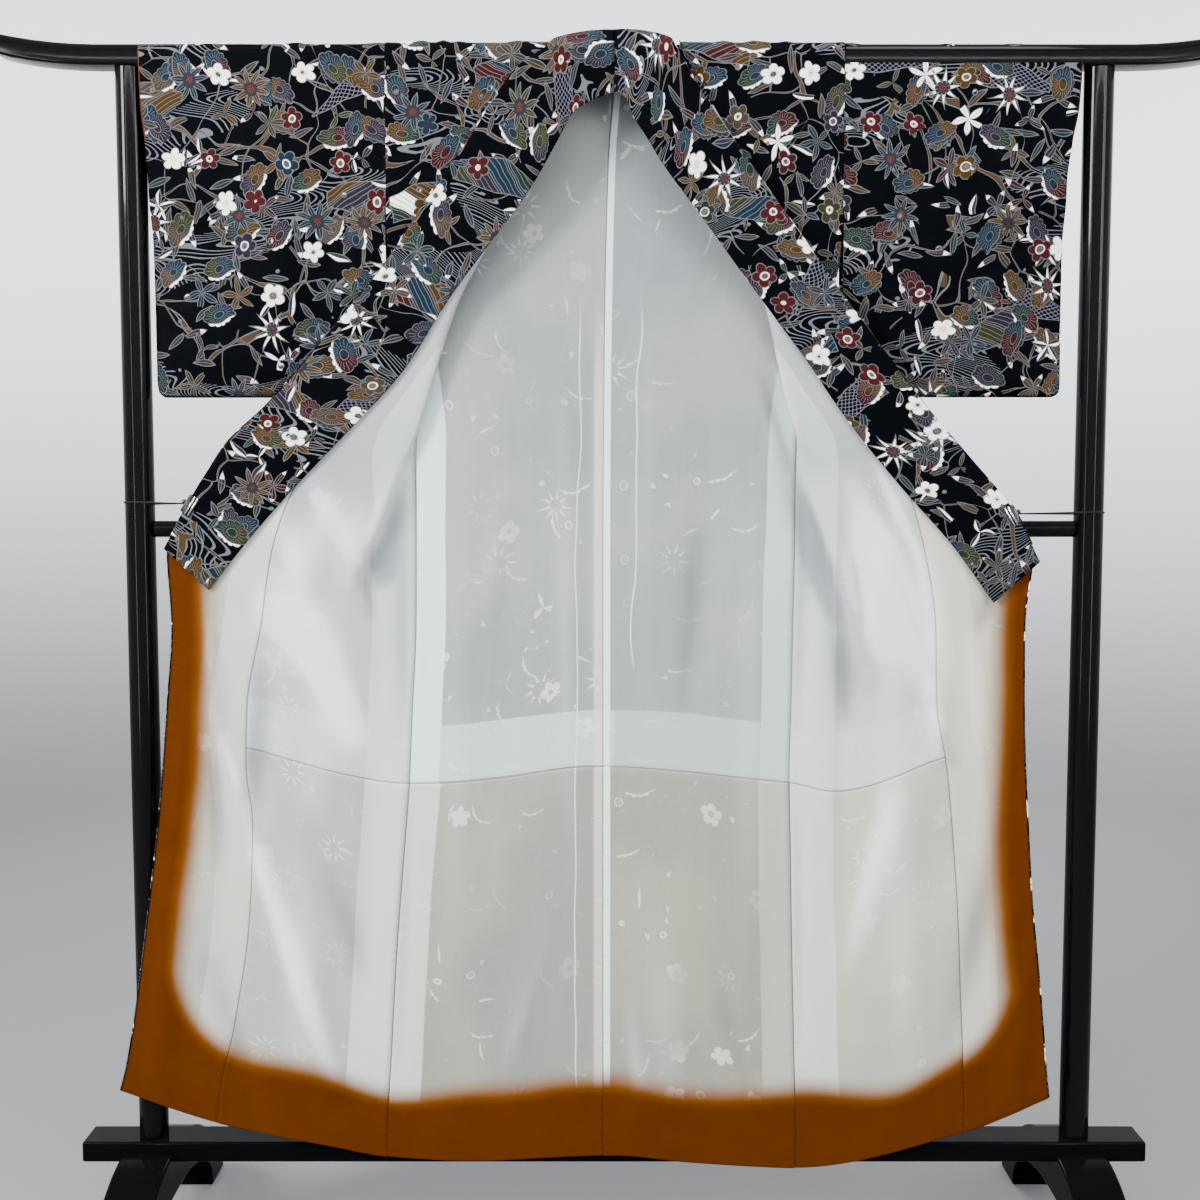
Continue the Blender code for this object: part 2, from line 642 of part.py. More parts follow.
def make_collar(name, side, table, silk):
    rows = collar_rows(side, table)
    rows[0] = [Vector((side * SEAM / 2, p.y, p.z)) for p in rows[0]]
    cloth("collar_" + name, rows, silk, COLLAR_WALL, -COLLAR_WALL / 2, side)
    cover = [list(row) for row in rows[:OVER_COLLAR_ROWS]]
    cover[0] = [p + Vector((side * OVER_COLLAR_WALL, 0, 0)) for p in cover[0]]
    cloth("over_collar_" + name, cover, silk, OVER_COLLAR_WALL, COLLAR_WALL / 2 + SEAM, side)


def make_sleeve(name, side, ends, silk):
    """A flat bag: open to the body, open at the wrist above, sewn up below it."""
    over_rail = [hang(height, REST) for height in reversed(crown_nodes(REST))]
    rings = []
    for part in SLEEVE_STATIONS:
        pinch = max(0.0, part * 2 - 1) ** 1.5
        half = list(over_rail)
        for height, inside, sewn in SLEEVE_ROWS:
            half.append((-(inside + (sewn - inside) * pinch), height))
        half.append((-(SLEEVE_ROUND + (SLEEVE_SEWN - SLEEVE_ROUND) * pinch), SLEEVE_BOTTOM))
        loop = half + [(-depth, z) for depth, z in reversed(half)]
        ring = []
        for depth, z in loop:
            inner = SHOULDER_X + SEAM if z >= ARM_SEAM_END else SLEEVE_OPEN_X
            reach = table_value(ends, z, 1)
            x = inner + (reach - inner) * part
            corner = max(0.0, x - (reach - SLEEVE_CORNER))
            lift = SLEEVE_CORNER - math.sqrt(max(0.0, SLEEVE_CORNER ** 2 - corner ** 2))
            low = max(0.0, 1.0 - (z - SLEEVE_BOTTOM) / (2 * SLEEVE_CORNER))
            ring.append(Vector((side * x, depth, z + lift * low)))
        rings.append(ring)
    cloth("sleeve_" + name, rings, silk, OUTER, SEAM / 2, side, closed=True)


def make_clip(name, side, reach, height, tilt, steel):
    """A bent spring clip that grips the collar seam."""
    along = Vector((math.cos(math.radians(tilt)), 0, -math.sin(math.radians(tilt))))
    across = Vector((math.sin(math.radians(tilt)), 0, math.cos(math.radians(tilt))))
    section = (
        # inward from the seam, depth
        (CLIP_GRIP, CLIP_FRONT), (-CLIP_CLEAR, CLIP_FRONT), (-CLIP_CLEAR, CLIP_BACK),
        (CLIP_GRIP, CLIP_BACK), (CLIP_GRIP, CLIP_BACK + CLIP_BAR),
        (-CLIP_CLEAR - CLIP_BAR, CLIP_BACK + CLIP_BAR),
        (-CLIP_CLEAR - CLIP_BAR, CLIP_FRONT - CLIP_BAR), (CLIP_GRIP, CLIP_FRONT - CLIP_BAR),
    )
    rings = []
    for end in (-0.5, 0.5):
        ring = []
        for inward, depth in section:
            flat = Vector((reach, 0, height)) + along * end * CLIP_LENGTH - across * inward
            ring.append(Vector((side * flat.x, depth, flat.z)))
        rings.append(ring)
    add_object("clip_" + name, ring_mesh("clip_" + name, rings), steel, smooth=False)


def make_tie(name, side, reach, height, tilt, mat):
    """The thread from the clip round the post and back."""
    slant = math.radians(tilt)
    start_x = reach + (CLIP_CLEAR + CLIP_BAR + SEAM) / math.sin(slant) + LOOP_DROP / math.tan(slant)
    depth = (CLIP_FRONT + CLIP_BACK) / 2
    around = POST_RADIUS + THREAD + 2 * SEAM
    towards = math.atan2(depth, start_x - POST_X)
    spread = math.acos(around / math.hypot(depth, start_x - POST_X))
    first = towards + spread
    sweep = 2 * math.pi - 2 * spread
    route = [Vector((start_x, depth, height + LOOP_DROP / 2))]
    for i in range(LOOP_STEPS + 1):
        part = i / LOOP_STEPS
        turn = first + sweep * part
        drop = LOOP_DROP * (0.5 - part)
        route.append(Vector((POST_X + around * math.cos(turn), around * math.sin(turn), height + drop)))
    route.append(Vector((start_x, depth, height - LOOP_DROP / 2)))
    curve = bpy.data.curves.new("tie_" + name, "CURVE")
    curve.dimensions = "3D"
    curve.bevel_depth = THREAD
    curve.bevel_resolution = 1
    curve.use_fill_caps = True
    line = curve.splines.new("POLY")
    line.points.add(len(route) - 1)
    for point, place in zip(line.points, route):
        point.co = (side * place.x, place.y, place.z, 1.0)
    curve.materials.append(mat)
    PIECES.objects.link(bpy.data.objects.new("tie_" + name, curve))


def build():
    lacquer = make_material("black_lacquer", (0.006, 0.006, 0.007), 0.12, coat=0.6)
    silk = make_material("komon_silk", (0.035, 0.032, 0.036), 0.55)
    lining = make_material("lining_silk", (0.52, 0.56, 0.62), 0.42)
    skirt = make_material("skirt_lining", (0.50, 0.52, 0.55), 0.45)
    steel = make_material("clip_steel", (0.72, 0.73, 0.75), 0.22, metallic=1.0)
    thread = make_material("tie_thread", (0.012, 0.012, 0.013), 0.60)
    make_stand(lacquer)
    make_back("left", -1, silk, lining, skirt)
    make_back("right", 1, silk, lining, skirt)
    make_front("left", -1, FRONT_LEFT, silk, lining, skirt)
    make_front("right", 1, FRONT_RIGHT, silk, lining, skirt)
    make_overlap("left", -1, FRONT_LEFT, OVERLAP_EDGE_LEFT, silk, skirt)
    make_overlap("right", 1, FRONT_RIGHT, OVERLAP_EDGE_RIGHT, silk, skirt)
    make_collar("left", -1, COLLAR_LEFT, silk)
    make_collar("right", 1, COLLAR_RIGHT, silk)
    make_sleeve("left", -1, SLEEVE_END_LEFT, silk)
    make_sleeve("right", 1, SLEEVE_END_RIGHT, silk)
    for name, side, reach, height, tilt in CLIPS:
        make_clip(name, side, reach, height, tilt, steel)
        make_tie(name, side, reach, height, tilt, thread)


clear_scene()
PIECES = bpy.data.collections.new("komon_kimono")
bpy.context.scene.collection.children.link(PIECES)
build()
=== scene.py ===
import math

import bmesh
import bpy
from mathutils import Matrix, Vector


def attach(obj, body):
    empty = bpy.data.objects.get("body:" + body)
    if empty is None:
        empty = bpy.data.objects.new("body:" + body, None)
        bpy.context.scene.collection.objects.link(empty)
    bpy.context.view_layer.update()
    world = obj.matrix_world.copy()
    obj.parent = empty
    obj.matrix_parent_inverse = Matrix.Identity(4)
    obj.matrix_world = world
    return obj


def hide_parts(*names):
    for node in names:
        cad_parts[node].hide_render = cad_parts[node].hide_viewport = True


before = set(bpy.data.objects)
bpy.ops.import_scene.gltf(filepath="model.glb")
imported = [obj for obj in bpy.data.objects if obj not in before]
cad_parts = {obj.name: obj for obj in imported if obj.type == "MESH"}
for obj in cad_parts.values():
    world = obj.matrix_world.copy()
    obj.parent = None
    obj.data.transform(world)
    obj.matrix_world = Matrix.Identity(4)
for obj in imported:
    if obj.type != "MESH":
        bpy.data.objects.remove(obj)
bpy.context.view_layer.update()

# Sizes of the cloth
SEAM = 0.0003
SILK = 0.0006             # thickness of the printed silk that shows
LINING_SILK = 0.0005
SILK_OUT = 0.0012         # how far behind the shared seam surface the printed side lies
LINING_OUT = 0.0009       # and how far in front of it the lining side lies
EDGE_ROLL = 0.0013        # radius of the rolled hem and front edges
KISE = 0.0009             # depth of the groove along a sewn seam
KISE_OUTSIDE = 0.0005     # and on the printed side, where the wall stays behind the lining
KISE_WIDTH = 0.0040
SLEEVE_OUT = 0.0008       # how far out the sleeve's printed side lies
COLLAR_LENGTH = 0.90      # length of half the band in the flat print
FRONT_EDGE_ROLL = 0.0017  # and of the print that shows outside the lining's front edge

# Sizes of the stand
RAIL_DEPTH = 0.044
RAIL_HEIGHT = 0.030
RAIL_TOP = 1.687
RAIL_HALF_LENGTH = 0.845
RAIL_CROWN = 0.015
RAIL_FOOT = 0.004
RAIL_TURN_UP = 0.016
RAIL_TURN_START = 0.700
RAIL_TIP_SLANT = 0.008
POST_X = 0.660
POST_RADIUS = 0.0205
MID_RAIL_Z = 1.030
MID_RAIL_RADIUS = 0.0115
BEAM_TOP = 0.161
BEAM_HEIGHT = 0.029
BEAM_DEPTH = 0.060
BEAM_LENGTH = 1.510
FOOT_WIDTH = 0.072
FOOT_HALF_SPAN = 0.260
FOOT_CROWN = 0.146
FOOT_ARCH = 0.084
FOOT_PAD = 0.075
TOUCH = 0.0003

# Where the kimono hangs
SHOULDER_X = 0.310
NECK_X = 0.086
NECK_DIP = 0.004
REST = 0.0004
ARM_SEAM_END = 1.460
SKIRT_TOP = 0.690
LINING_TOP = 1.640
FRONT_LINING_TOP = 1.600
HEM = 0.139
HEM_FADE = 0.900
SLEEVE_BOTTOM = 1.211
SLEEVE_OPEN_X = 0.3115
SLEEVE_CORNER = 0.014
WRIST_SEAM_TOP = 1.555
COLLAR_NECK_SHARE = 0.50
STAND_UP = 0.0060
HAIRPIN_HANDLE = 1.33
SOFT_HANDLE = 0.45

# The centre back seam hangs a little to the left of the stand's middle: height and place
CENTRE_SEAM = (
    (1.640, 0.0),
    (1.530, -0.0085),
    (1.200, -0.0146),
    (1.000, -0.0155),
    (0.100, -0.0155),
)
# Rows of the back panel: height, depth, then how far the side reaches on the left and right
BACK = (
    (1.640, 0.0222, 0.310, 0.310),
    (1.550, 0.0190, 0.310, 0.310),
    (1.450, 0.0100, 0.310, 0.310),
    (1.390, 0.0020, 0.308, 0.306),
    (1.330, -0.0060, 0.299, 0.293),
    (1.250, -0.0130, 0.284, 0.267),
    (1.150, -0.0165, 0.274, 0.251),
    (1.030, -0.0168, 0.274, 0.250),
    (0.900, -0.0185, 0.275, 0.248),
    (0.780, -0.0215, 0.281, 0.246),
    (0.690, -0.0240, 0.285, 0.244),
    (0.600, -0.0265, 0.292, 0.246),
    (0.450, -0.0310, 0.304, 0.249),
    (0.300, -0.0350, 0.313, 0.253),
    (0.180, -0.0375, 0.320, 0.256),
    (0.139, -0.0380, 0.321, 0.256),
)

# Rows of a front panel: height, fold, seam, fold radius, softness, side depth, fold depth,
# seam depth
FRONT_LEFT = (
    (1.656, 0.088, 0.099, 0.0030, 0.006, -0.0224, -0.0265, -0.0335),
    (1.640, 0.091, 0.138, 0.0045, 0.010, -0.0224, -0.0280, -0.0330),
    (1.600, 0.106, 0.166, 0.0050, 0.010, -0.0224, -0.0290, -0.0345),
    (1.550, 0.124, 0.200, 0.0050, 0.010, -0.0224, -0.0290, -0.0345),
    (1.500, 0.142, 0.237, 0.0050, 0.010, -0.0224, -0.0290, -0.0345),
    (1.450, 0.160, 0.262, 0.0050, 0.010, -0.0224, -0.0290, -0.0345),
    (1.400, 0.181, 0.275, 0.0050, 0.010, -0.0170, -0.0290, -0.0345),
    (1.350, 0.208, 0.298, 0.0050, 0.010, -0.0110, -0.0290, -0.0345),
    (1.300, 0.227, 0.324, 0.0045, 0.010, -0.0140, -0.0290, -0.0345),
    (1.250, 0.243, 0.351, 0.0035, 0.010, -0.0172, -0.0290, -0.0345),
    (1.200, 0.258, 0.379, 0.0035, 0.006, -0.0185, -0.0290, -0.0345),
    (1.150, 0.275, 0.407, 0.0015, 0.004, -0.0190, -0.0285, -0.0345),
    (1.100, 0.298, 0.434, 0.0000, 0.014, -0.0175, -0.0255, -0.0345),
    (1.000, 0.343, 0.471, 0.0000, 0.020, -0.0170, -0.0300, -0.0325),
    (0.900, 0.348, 0.487, 0.0000, 0.024, -0.0185, -0.0310, -0.0325),
    (0.780, 0.355, 0.509, 0.0000, 0.026, -0.0215, -0.0290, -0.0330),
    (0.690, 0.365, 0.512, 0.0000, 0.026, -0.0240, -0.0290, -0.0335),
    (0.600, 0.372, 0.503, 0.0000, 0.026, -0.0265, -0.0300, -0.0340),
    (0.450, 0.385, 0.511, 0.0000, 0.026, -0.0310, -0.0320, -0.0350),
    (0.300, 0.400, 0.533, 0.0000, 0.026, -0.0350, -0.0355, -0.0370),
    (0.180, 0.410, 0.556, 0.0000, 0.026, -0.0375, -0.0385, -0.0385),
    (0.139, 0.412, 0.560, 0.0000, 0.026, -0.0380, -0.0395, -0.0390),
)
FRONT_RIGHT = (
    (1.656, 0.088, 0.099, 0.0030, 0.006, -0.0224, -0.0265, -0.0335),
    (1.640, 0.090, 0.112, 0.0045, 0.010, -0.0224, -0.0280, -0.0330),
    (1.600, 0.106, 0.132, 0.0050, 0.010, -0.0224, -0.0290, -0.0345),
    (1.550, 0.126, 0.164, 0.0050, 0.010, -0.0224, -0.0290, -0.0345),
    (1.500, 0.145, 0.199, 0.0050, 0.010, -0.0224, -0.0290, -0.0345),
    (1.450, 0.164, 0.236, 0.0050, 0.010, -0.0224, -0.0290, -0.0345),
    (1.400, 0.183, 0.271, 0.0050, 0.010, -0.0170, -0.0290, -0.0345),
    (1.350, 0.201, 0.307, 0.0050, 0.010, -0.0110, -0.0290, -0.0345),
    (1.300, 0.214, 0.333, 0.0045, 0.010, -0.0140, -0.0290, -0.0345),
    (1.250, 0.224, 0.349, 0.0035, 0.010, -0.0172, -0.0290, -0.0345),
    (1.200, 0.236, 0.366, 0.0035, 0.006, -0.0185, -0.0290, -0.0345),
    (1.150, 0.253, 0.382, 0.0015, 0.004, -0.0190, -0.0285, -0.0345),
    (1.100, 0.276, 0.398, 0.0000, 0.014, -0.0175, -0.0245, -0.0345),
    (1.000, 0.306, 0.426, 0.0000, 0.020, -0.0170, -0.0285, -0.0325),
    (0.900, 0.320, 0.442, 0.0000, 0.024, -0.0185, -0.0310, -0.0325),
    (0.780, 0.335, 0.446, 0.0000, 0.026, -0.0215, -0.0290, -0.0330),
    (0.690, 0.345, 0.462, 0.0000, 0.026, -0.0240, -0.0290, -0.0335),
    (0.600, 0.352, 0.471, 0.0000, 0.026, -0.0265, -0.0300, -0.0340),
    (0.450, 0.360, 0.482, 0.0000, 0.026, -0.0310, -0.0320, -0.0350),
    (0.300, 0.368, 0.489, 0.0000, 0.026, -0.0350, -0.0355, -0.0370),
    (0.180, 0.372, 0.493, 0.0000, 0.026, -0.0375, -0.0385, -0.0385),
    (0.139, 0.372, 0.494, 0.0000, 0.026, -0.0380, -0.0395, -0.0390),
)

# The overlap panel's front edge: height, reach, depth
OVERLAP_EDGE_LEFT = (
    (1.430, 0.284, -0.0352), (1.400, 0.303, -0.0352), (1.350, 0.344, -0.0352),
    (1.300, 0.386, -0.0352), (1.250, 0.429, -0.0350), (1.200, 0.475, -0.0345),
    (1.150, 0.529, -0.0340), (1.100, 0.562, -0.0335), (1.050, 0.592, -0.0330),
    (1.000, 0.614, -0.0330), (0.900, 0.610, -0.0320), (0.780, 0.618, -0.0330),
    (0.690, 0.625, -0.0340), (0.600, 0.633, -0.0350), (0.450, 0.650, -0.0365),
    (0.370, 0.6595, -0.0375), (0.300, 0.668, -0.0385), (0.240, 0.676, -0.0393),
    (0.180, 0.6855, -0.0400), (0.139, 0.694, -0.0405),
)
OVERLAP_EDGE_RIGHT = (
    (1.320, 0.332, -0.0352), (1.300, 0.345, -0.0352), (1.250, 0.383, -0.0350),
    (1.200, 0.422, -0.0345), (1.150, 0.465, -0.0340), (1.100, 0.508, -0.0335),
    (1.050, 0.549, -0.0330), (1.000, 0.574, -0.0330), (0.900, 0.565, -0.0320),
    (0.780, 0.566, -0.0330), (0.690, 0.569, -0.0340), (0.600, 0.574, -0.0350),
    (0.450, 0.5835, -0.0365), (0.300, 0.5975, -0.0385), (0.180, 0.607, -0.0400),
    (0.139, 0.611, -0.0405),
)

# How much higher than HEM the hem hangs, across the whole width: x, rise
HEM_RISE = (
    (-0.700, 0.105), (-0.560, 0.056), (-0.400, 0.022), (-0.316, 0.006), (-0.200, 0.000),
    (0.000, 0.008), (0.120, -0.003), (0.255, -0.010), (0.490, 0.041), (0.620, 0.096),
)

# Height of the seam between the upper lining and the skirt lining: x, height
SKIRT_SEAM = (
    (-0.516, 0.716), (-0.286, 0.674), (-0.159, 0.682), (-0.023, 0.697), (0.245, 0.679),
    (0.307, 0.666), (0.461, 0.706),
)

# The collar band: seam reach, seam height, free reach, free height, heights counted on over the
# rail
COLLAR_LEFT = (
    (0.0000, 1.712, 0.0000, 1.618),
    (0.040, 1.712, 0.016, 1.613),
    (0.074, 1.702, 0.036, 1.604),
    (0.089, 1.680, 0.055, 1.592),
    (0.130, 1.651, 0.072, 1.562),
    (0.199, 1.551, 0.112, 1.492),
    (0.242, 1.494, 0.158, 1.430),
    (0.308, 1.393, 0.219, 1.350),
    (0.380, 1.307, 0.288, 1.245),
    (0.457, 1.217, 0.350, 1.178),
    (0.533, 1.142, 0.440, 1.085),
    (0.590, 1.057, 0.505, 1.012),
    (0.618, 1.004, 0.557, 0.947),
)
COLLAR_RIGHT = (
    (0.0000, 1.712, 0.0000, 1.618),
    (0.034, 1.712, 0.014, 1.611),
    (0.066, 1.702, 0.024, 1.588),
    (0.084, 1.672, 0.042, 1.560),
    (0.120, 1.612, 0.064, 1.524),
    (0.200, 1.498, 0.122, 1.446),
    (0.251, 1.429, 0.166, 1.386),
    (0.298, 1.363, 0.214, 1.322),
    (0.345, 1.300, 0.262, 1.258),
    (0.410, 1.214, 0.318, 1.178),
    (0.480, 1.134, 0.394, 1.086),
    (0.544, 1.058, 0.462, 1.010),
    (0.583, 0.986, 0.521, 0.930),
)
COLLAR_DEPTH = -0.0385
COLLAR_THICK = 0.0015
COVER_THICK = 0.0009
COVER_SHARE = 0.53        # the over-collar covers this share of the band's length

# Outer end of the sleeves: height, reach
SLEEVE_END_LEFT = (
    (1.690, 0.644), (1.600, 0.641), (1.555, 0.636), (1.500, 0.633), (1.211, 0.632),
)
SLEEVE_END_RIGHT = (
    (1.690, 0.633), (1.600, 0.628), (1.555, 0.620), (1.500, 0.614), (1.211, 0.616),
)
SLEEVE_ROWS = (
    # height, depth of the two layers inside the sleeve, the same at the sewn end
    (1.640, 0.0228, 0.0228),
    (1.550, 0.0232, 0.0232),
    (1.480, 0.0232, 0.0200),
    (1.420, 0.0220, 0.0040),
    (1.340, 0.0180, 0.0012),
    (1.260, 0.0120, 0.0008),
    (1.225, 0.0070, 0.0006),
)

# Soft troughs and ridges in the hanging cloth
CREASES = (
    # x and height of the two ends, width, height of the ridge
    (-0.075, 1.26, -0.060, 0.52, 0.020, 0.0022),
    (-0.030, 1.40, -0.045, 0.75, 0.012, -0.0012),
    (0.050, 1.36, 0.042, 0.80, 0.016, 0.0016),
    (0.105, 1.46, 0.120, 0.60, 0.030, -0.0024),
    (0.190, 1.24, 0.185, 0.30, 0.028, 0.0020),
    (-0.135, 1.38, -0.170, 0.62, 0.024, -0.0022),
    (-0.215, 1.20, -0.225, 0.34, 0.026, 0.0018),
    (-0.120, 0.56, -0.110, 0.16, 0.030, -0.0020),
    (0.060, 0.50, 0.080, 0.15, 0.034, 0.0022),
    (0.215, 0.52, 0.205, 0.14, 0.022, -0.0014),
    (-0.330, 0.98, -0.365, 0.30, 0.022, -0.0030),
    (-0.400, 0.90, -0.455, 0.20, 0.030, 0.0030),
    (-0.520, 0.92, -0.590, 0.22, 0.026, -0.0024),
    (-0.580, 0.86, -0.655, 0.30, 0.018, 0.0014),
    (0.300, 1.02, 0.322, 0.30, 0.020, -0.0026),
    (0.365, 1.00, 0.415, 0.24, 0.030, 0.0030),
    (0.470, 0.90, 0.530, 0.24, 0.026, -0.0022),
    (0.540, 0.84, 0.575, 0.30, 0.018, 0.0016),
    (-0.452, 1.06, -0.400, 0.82, 0.016, 0.0018),
    (0.400, 1.10, 0.345, 0.86, 0.016, 0.0016),
)
# Sharper folds that the photograph shows, and others like them where it shows nothing
LIFTED = 0.0080           # the push that counts as a full lift or dip
FOLDS = (
    (0.196, 1.250, 0.240, 1.120, 0.014, -0.0060),
    (0.238, 1.130, 0.302, 0.930, 0.026, -0.0085),
    (0.214, 1.265, 0.262, 1.110, 0.009, 0.0050),
    (0.262, 1.110, 0.332, 0.918, 0.011, 0.0062),
    (0.345, 1.080, 0.405, 0.830, 0.045, 0.0070),
    (0.420, 1.010, 0.468, 0.800, 0.022, 0.0040),
    (0.455, 0.740, 0.480, 0.690, 0.010, -0.0036),
    (-0.300, 1.110, -0.356, 0.960, 0.009, 0.0060),
    (-0.380, 1.080, -0.430, 0.960, 0.030, 0.0050),
    (-0.285, 1.090, -0.325, 0.955, 0.022, -0.0080),
    (-0.345, 1.060, -0.368, 0.955, 0.020, 0.0050),
    (-0.290, 1.000, -0.291, 0.740, 0.012, -0.0042),
    (0.262, 1.020, 0.256, 0.740, 0.012, -0.0040),
    (-0.283, 0.680, -0.296, 0.300, 0.010, -0.0024),
    (0.258, 0.680, 0.262, 0.300, 0.010, -0.0024),
    (-0.544, 0.723, -0.390, 0.243, 0.016, 0.0065),
    (-0.563, 0.947, -0.553, 0.765, 0.009, 0.0056),
    (-0.553, 0.765, -0.515, 0.667, 0.010, 0.0047),
    (-0.470, 0.954, -0.391, 0.849, 0.030, 0.0074),
    (-0.391, 0.849, -0.350, 0.720, 0.028, 0.0062),
    (-0.353, 0.980, -0.333, 0.905, 0.010, -0.0053),
    (-0.364, 0.919, -0.337, 0.940, 0.005, 0.0022),
    (-0.372, 0.898, -0.340, 0.914, 0.004, -0.0017),
    (-0.412, 1.090, -0.352, 0.985, 0.012, 0.0053),
    (-0.480, 0.860, -0.505, 0.600, 0.020, -0.0056),
    (-0.430, 0.620, -0.352, 0.400, 0.024, -0.0047),
    (-0.610, 0.560, -0.640, 0.250, 0.018, 0.0047),
    (-0.560, 0.420, -0.500, 0.190, 0.020, -0.0047),
    (0.365, 0.988, 0.437, 0.810, 0.014, 0.0068),
    (0.437, 0.810, 0.453, 0.714, 0.016, 0.0056),
    (0.283, 0.988, 0.310, 0.905, 0.010, -0.0056),
    (0.331, 0.990, 0.346, 0.900, 0.008, -0.0053),
    (0.310, 0.905, 0.322, 0.760, 0.014, -0.0037),
    (0.530, 0.960, 0.497, 0.877, 0.012, -0.0053),
    (0.497, 0.877, 0.505, 0.700, 0.016, 0.0043),
    (0.387, 0.655, 0.315, 0.380, 0.022, 0.0056),
    (0.540, 0.600, 0.470, 0.300, 0.020, -0.0047),
    (0.585, 0.480, 0.560, 0.220, 0.016, 0.0040),
    (-0.150, 1.100, -0.175, 0.900, 0.014, 0.0034),
    (0.115, 1.020, 0.090, 0.760, 0.016, -0.0034),
    (-0.095, 0.480, -0.150, 0.270, 0.020, 0.0037),
    (0.135, 0.440, 0.190, 0.220, 0.018, -0.0037),
    (0.020, 0.360, 0.045, 0.170, 0.014, 0.0025),
)
# Painted highlights and painted shade: where the satin shines or darkens more than the folds alone
# would make it
PAINTED_SHINES_AND_SHADES = (
    (0.262, 1.060, 0.305, 0.915, 0.014, -0.0085),
    (0.318, 1.120, 0.345, 1.040, 0.018, 0.0025),
    (0.345, 1.040, 0.380, 0.870, 0.030, 0.0075),
    (0.322, 0.920, 0.330, 0.770, 0.032, -0.0034),
    (0.355, 1.124, 0.420, 0.989, 0.006, 0.0060),
    (0.420, 0.989, 0.438, 0.850, 0.006, 0.0050),
    (0.340, 1.110, 0.402, 0.985, 0.009, -0.0040),
    (-0.345, 1.010, -0.310, 0.960, 0.016, -0.0060),
    (-0.500, 0.930, -0.400, 0.830, 0.028, 0.0060),
    (-0.400, 0.830, -0.345, 0.715, 0.022, 0.0050),
    (-0.550, 0.840, -0.556, 0.560, 0.012, -0.0055),
    (-0.470, 1.060, -0.430, 0.960, 0.020, 0.0040),
)
SLEEVE_CREASES = (
    (-0.370, 1.62, -0.400, 1.26, 0.022, -0.0026),
    (-0.440, 1.66, -0.455, 1.24, 0.026, 0.0030),
    (-0.520, 1.60, -0.535, 1.30, 0.020, -0.0022),
    (-0.585, 1.52, -0.575, 1.25, 0.018, 0.0018),
    (0.352, 1.60, 0.372, 1.25, 0.022, 0.0028),
    (0.430, 1.66, 0.440, 1.30, 0.024, -0.0028),
    (0.505, 1.62, 0.520, 1.24, 0.026, 0.0026),
    (0.575, 1.50, 0.565, 1.26, 0.018, -0.0018),
)

# Bumps of bunched cloth along the top of the rail: x, width and height
BUMPS = (
    (-0.560, 0.012, 0.0014),
    (-0.432, 0.010, 0.0022),
    (-0.322, 0.014, 0.0018),
    (-0.262, 0.009, 0.0030),
    (-0.233, 0.006, 0.0034),
    (-0.212, 0.008, 0.0020),
    (-0.128, 0.009, 0.0032),
    (0.148, 0.008, 0.0024),
    (0.191, 0.009, 0.0034),
    (0.232, 0.007, 0.0020),
    (0.318, 0.012, 0.0022),
    (0.452, 0.010, 0.0018),
    (0.541, 0.014, 0.0014),
)
NECK_PEAK = 0.014         # how far the band stands up at the middle of the neck
NECK_SINK = 0.008         # and how far it sinks beside that
NECK_PEAK_REACH = 0.085

# Clips that hold the collar ends out, tied to the posts: side, seam reach, height, tilt
CLIPS = {
    "left": (-1, 0.5845, 1.066, 58.0),
    "right": (1, 0.5485, 1.052, 60.0),
}
CLIP_LENGTH = 0.026
CLIP_GRIP = 0.012
CLIP_BAR = 0.0012
CLIP_CLEAR = 0.002
CLIP_FRONT = -0.0396
CLIP_BACK = -0.0312
THREAD = 0.0006
STRANDS_WIDE = 1.8        # the doubled thread looks as wide as this many single ones
LOOP_DROP = 0.004


# Camera, light and backdrop: each light's name, place, aim, size, power and colour
CAMERA_PLACE = (-0.02, -2.23, 1.11)
CAMERA_DIP = 4.6
LENS = 48.0
SENSOR = 36.0
WARM_LIGHT = (1.0, 0.99, 0.97)
PLAIN_LIGHT = (1.0, 1.0, 1.0)
COOL_LIGHT = (0.96, 0.98, 1.0)
SKY_LIGHT = (0.94, 0.97, 1.0)
LIGHTS = (
    ("key_softbox", (-3.0, -2.1, 2.7), (0, 0, 0.9), (1.0, 1.5), 430, WARM_LIGHT),
    ("fill_softbox", (2.5, -2.7, 2.3), (0, 0, 0.8), (1.0, 1.8), 95, COOL_LIGHT),
    ("top_softbox", (0.1, -0.9, 4.0), (0, 0.2, 0.9), (2.4, 1.2), 120, PLAIN_LIGHT),
    ("back_softbox", (-0.6, 3.4, 3.4), (0, 0, 0.9), (2.0, 1.6), 170, PLAIN_LIGHT),
    ("left_strip", (-1.7, -2.2, 1.3), (0, 0, 1.1), (0.045, 1.9), 22, SKY_LIGHT),
    ("right_strip", (1.7, -2.2, 1.3), (0, 0, 1.1), (0.045, 1.9), 22, PLAIN_LIGHT),
    ("long_strip", (0, -2.7, 2.3), (0, 0, 1.1), (3.4, 0.05), 16, PLAIN_LIGHT),
)
AIR_COLOUR = (0.93, 0.96, 1.0, 1.0)
AIR_STRENGTH = 0.7
FLOOR_REACH = 3.4
BOWL_CURVE = 1.4
WALL_TOP = 4.6


def set_camera():
    """The camera stands in front of the middle, a little above the middle rail."""
    data = bpy.data.cameras.new("photo_view")
    data.lens = LENS
    data.sensor_width = SENSOR
    data.clip_end = 60.0
    thing = bpy.data.objects.new("photo_view", data)
    thing.location = CAMERA_PLACE
    thing.rotation_euler = (math.radians(90.0 - CAMERA_DIP), 0.0, 0.0)
    bpy.context.scene.collection.objects.link(thing)
    bpy.context.scene.camera = thing


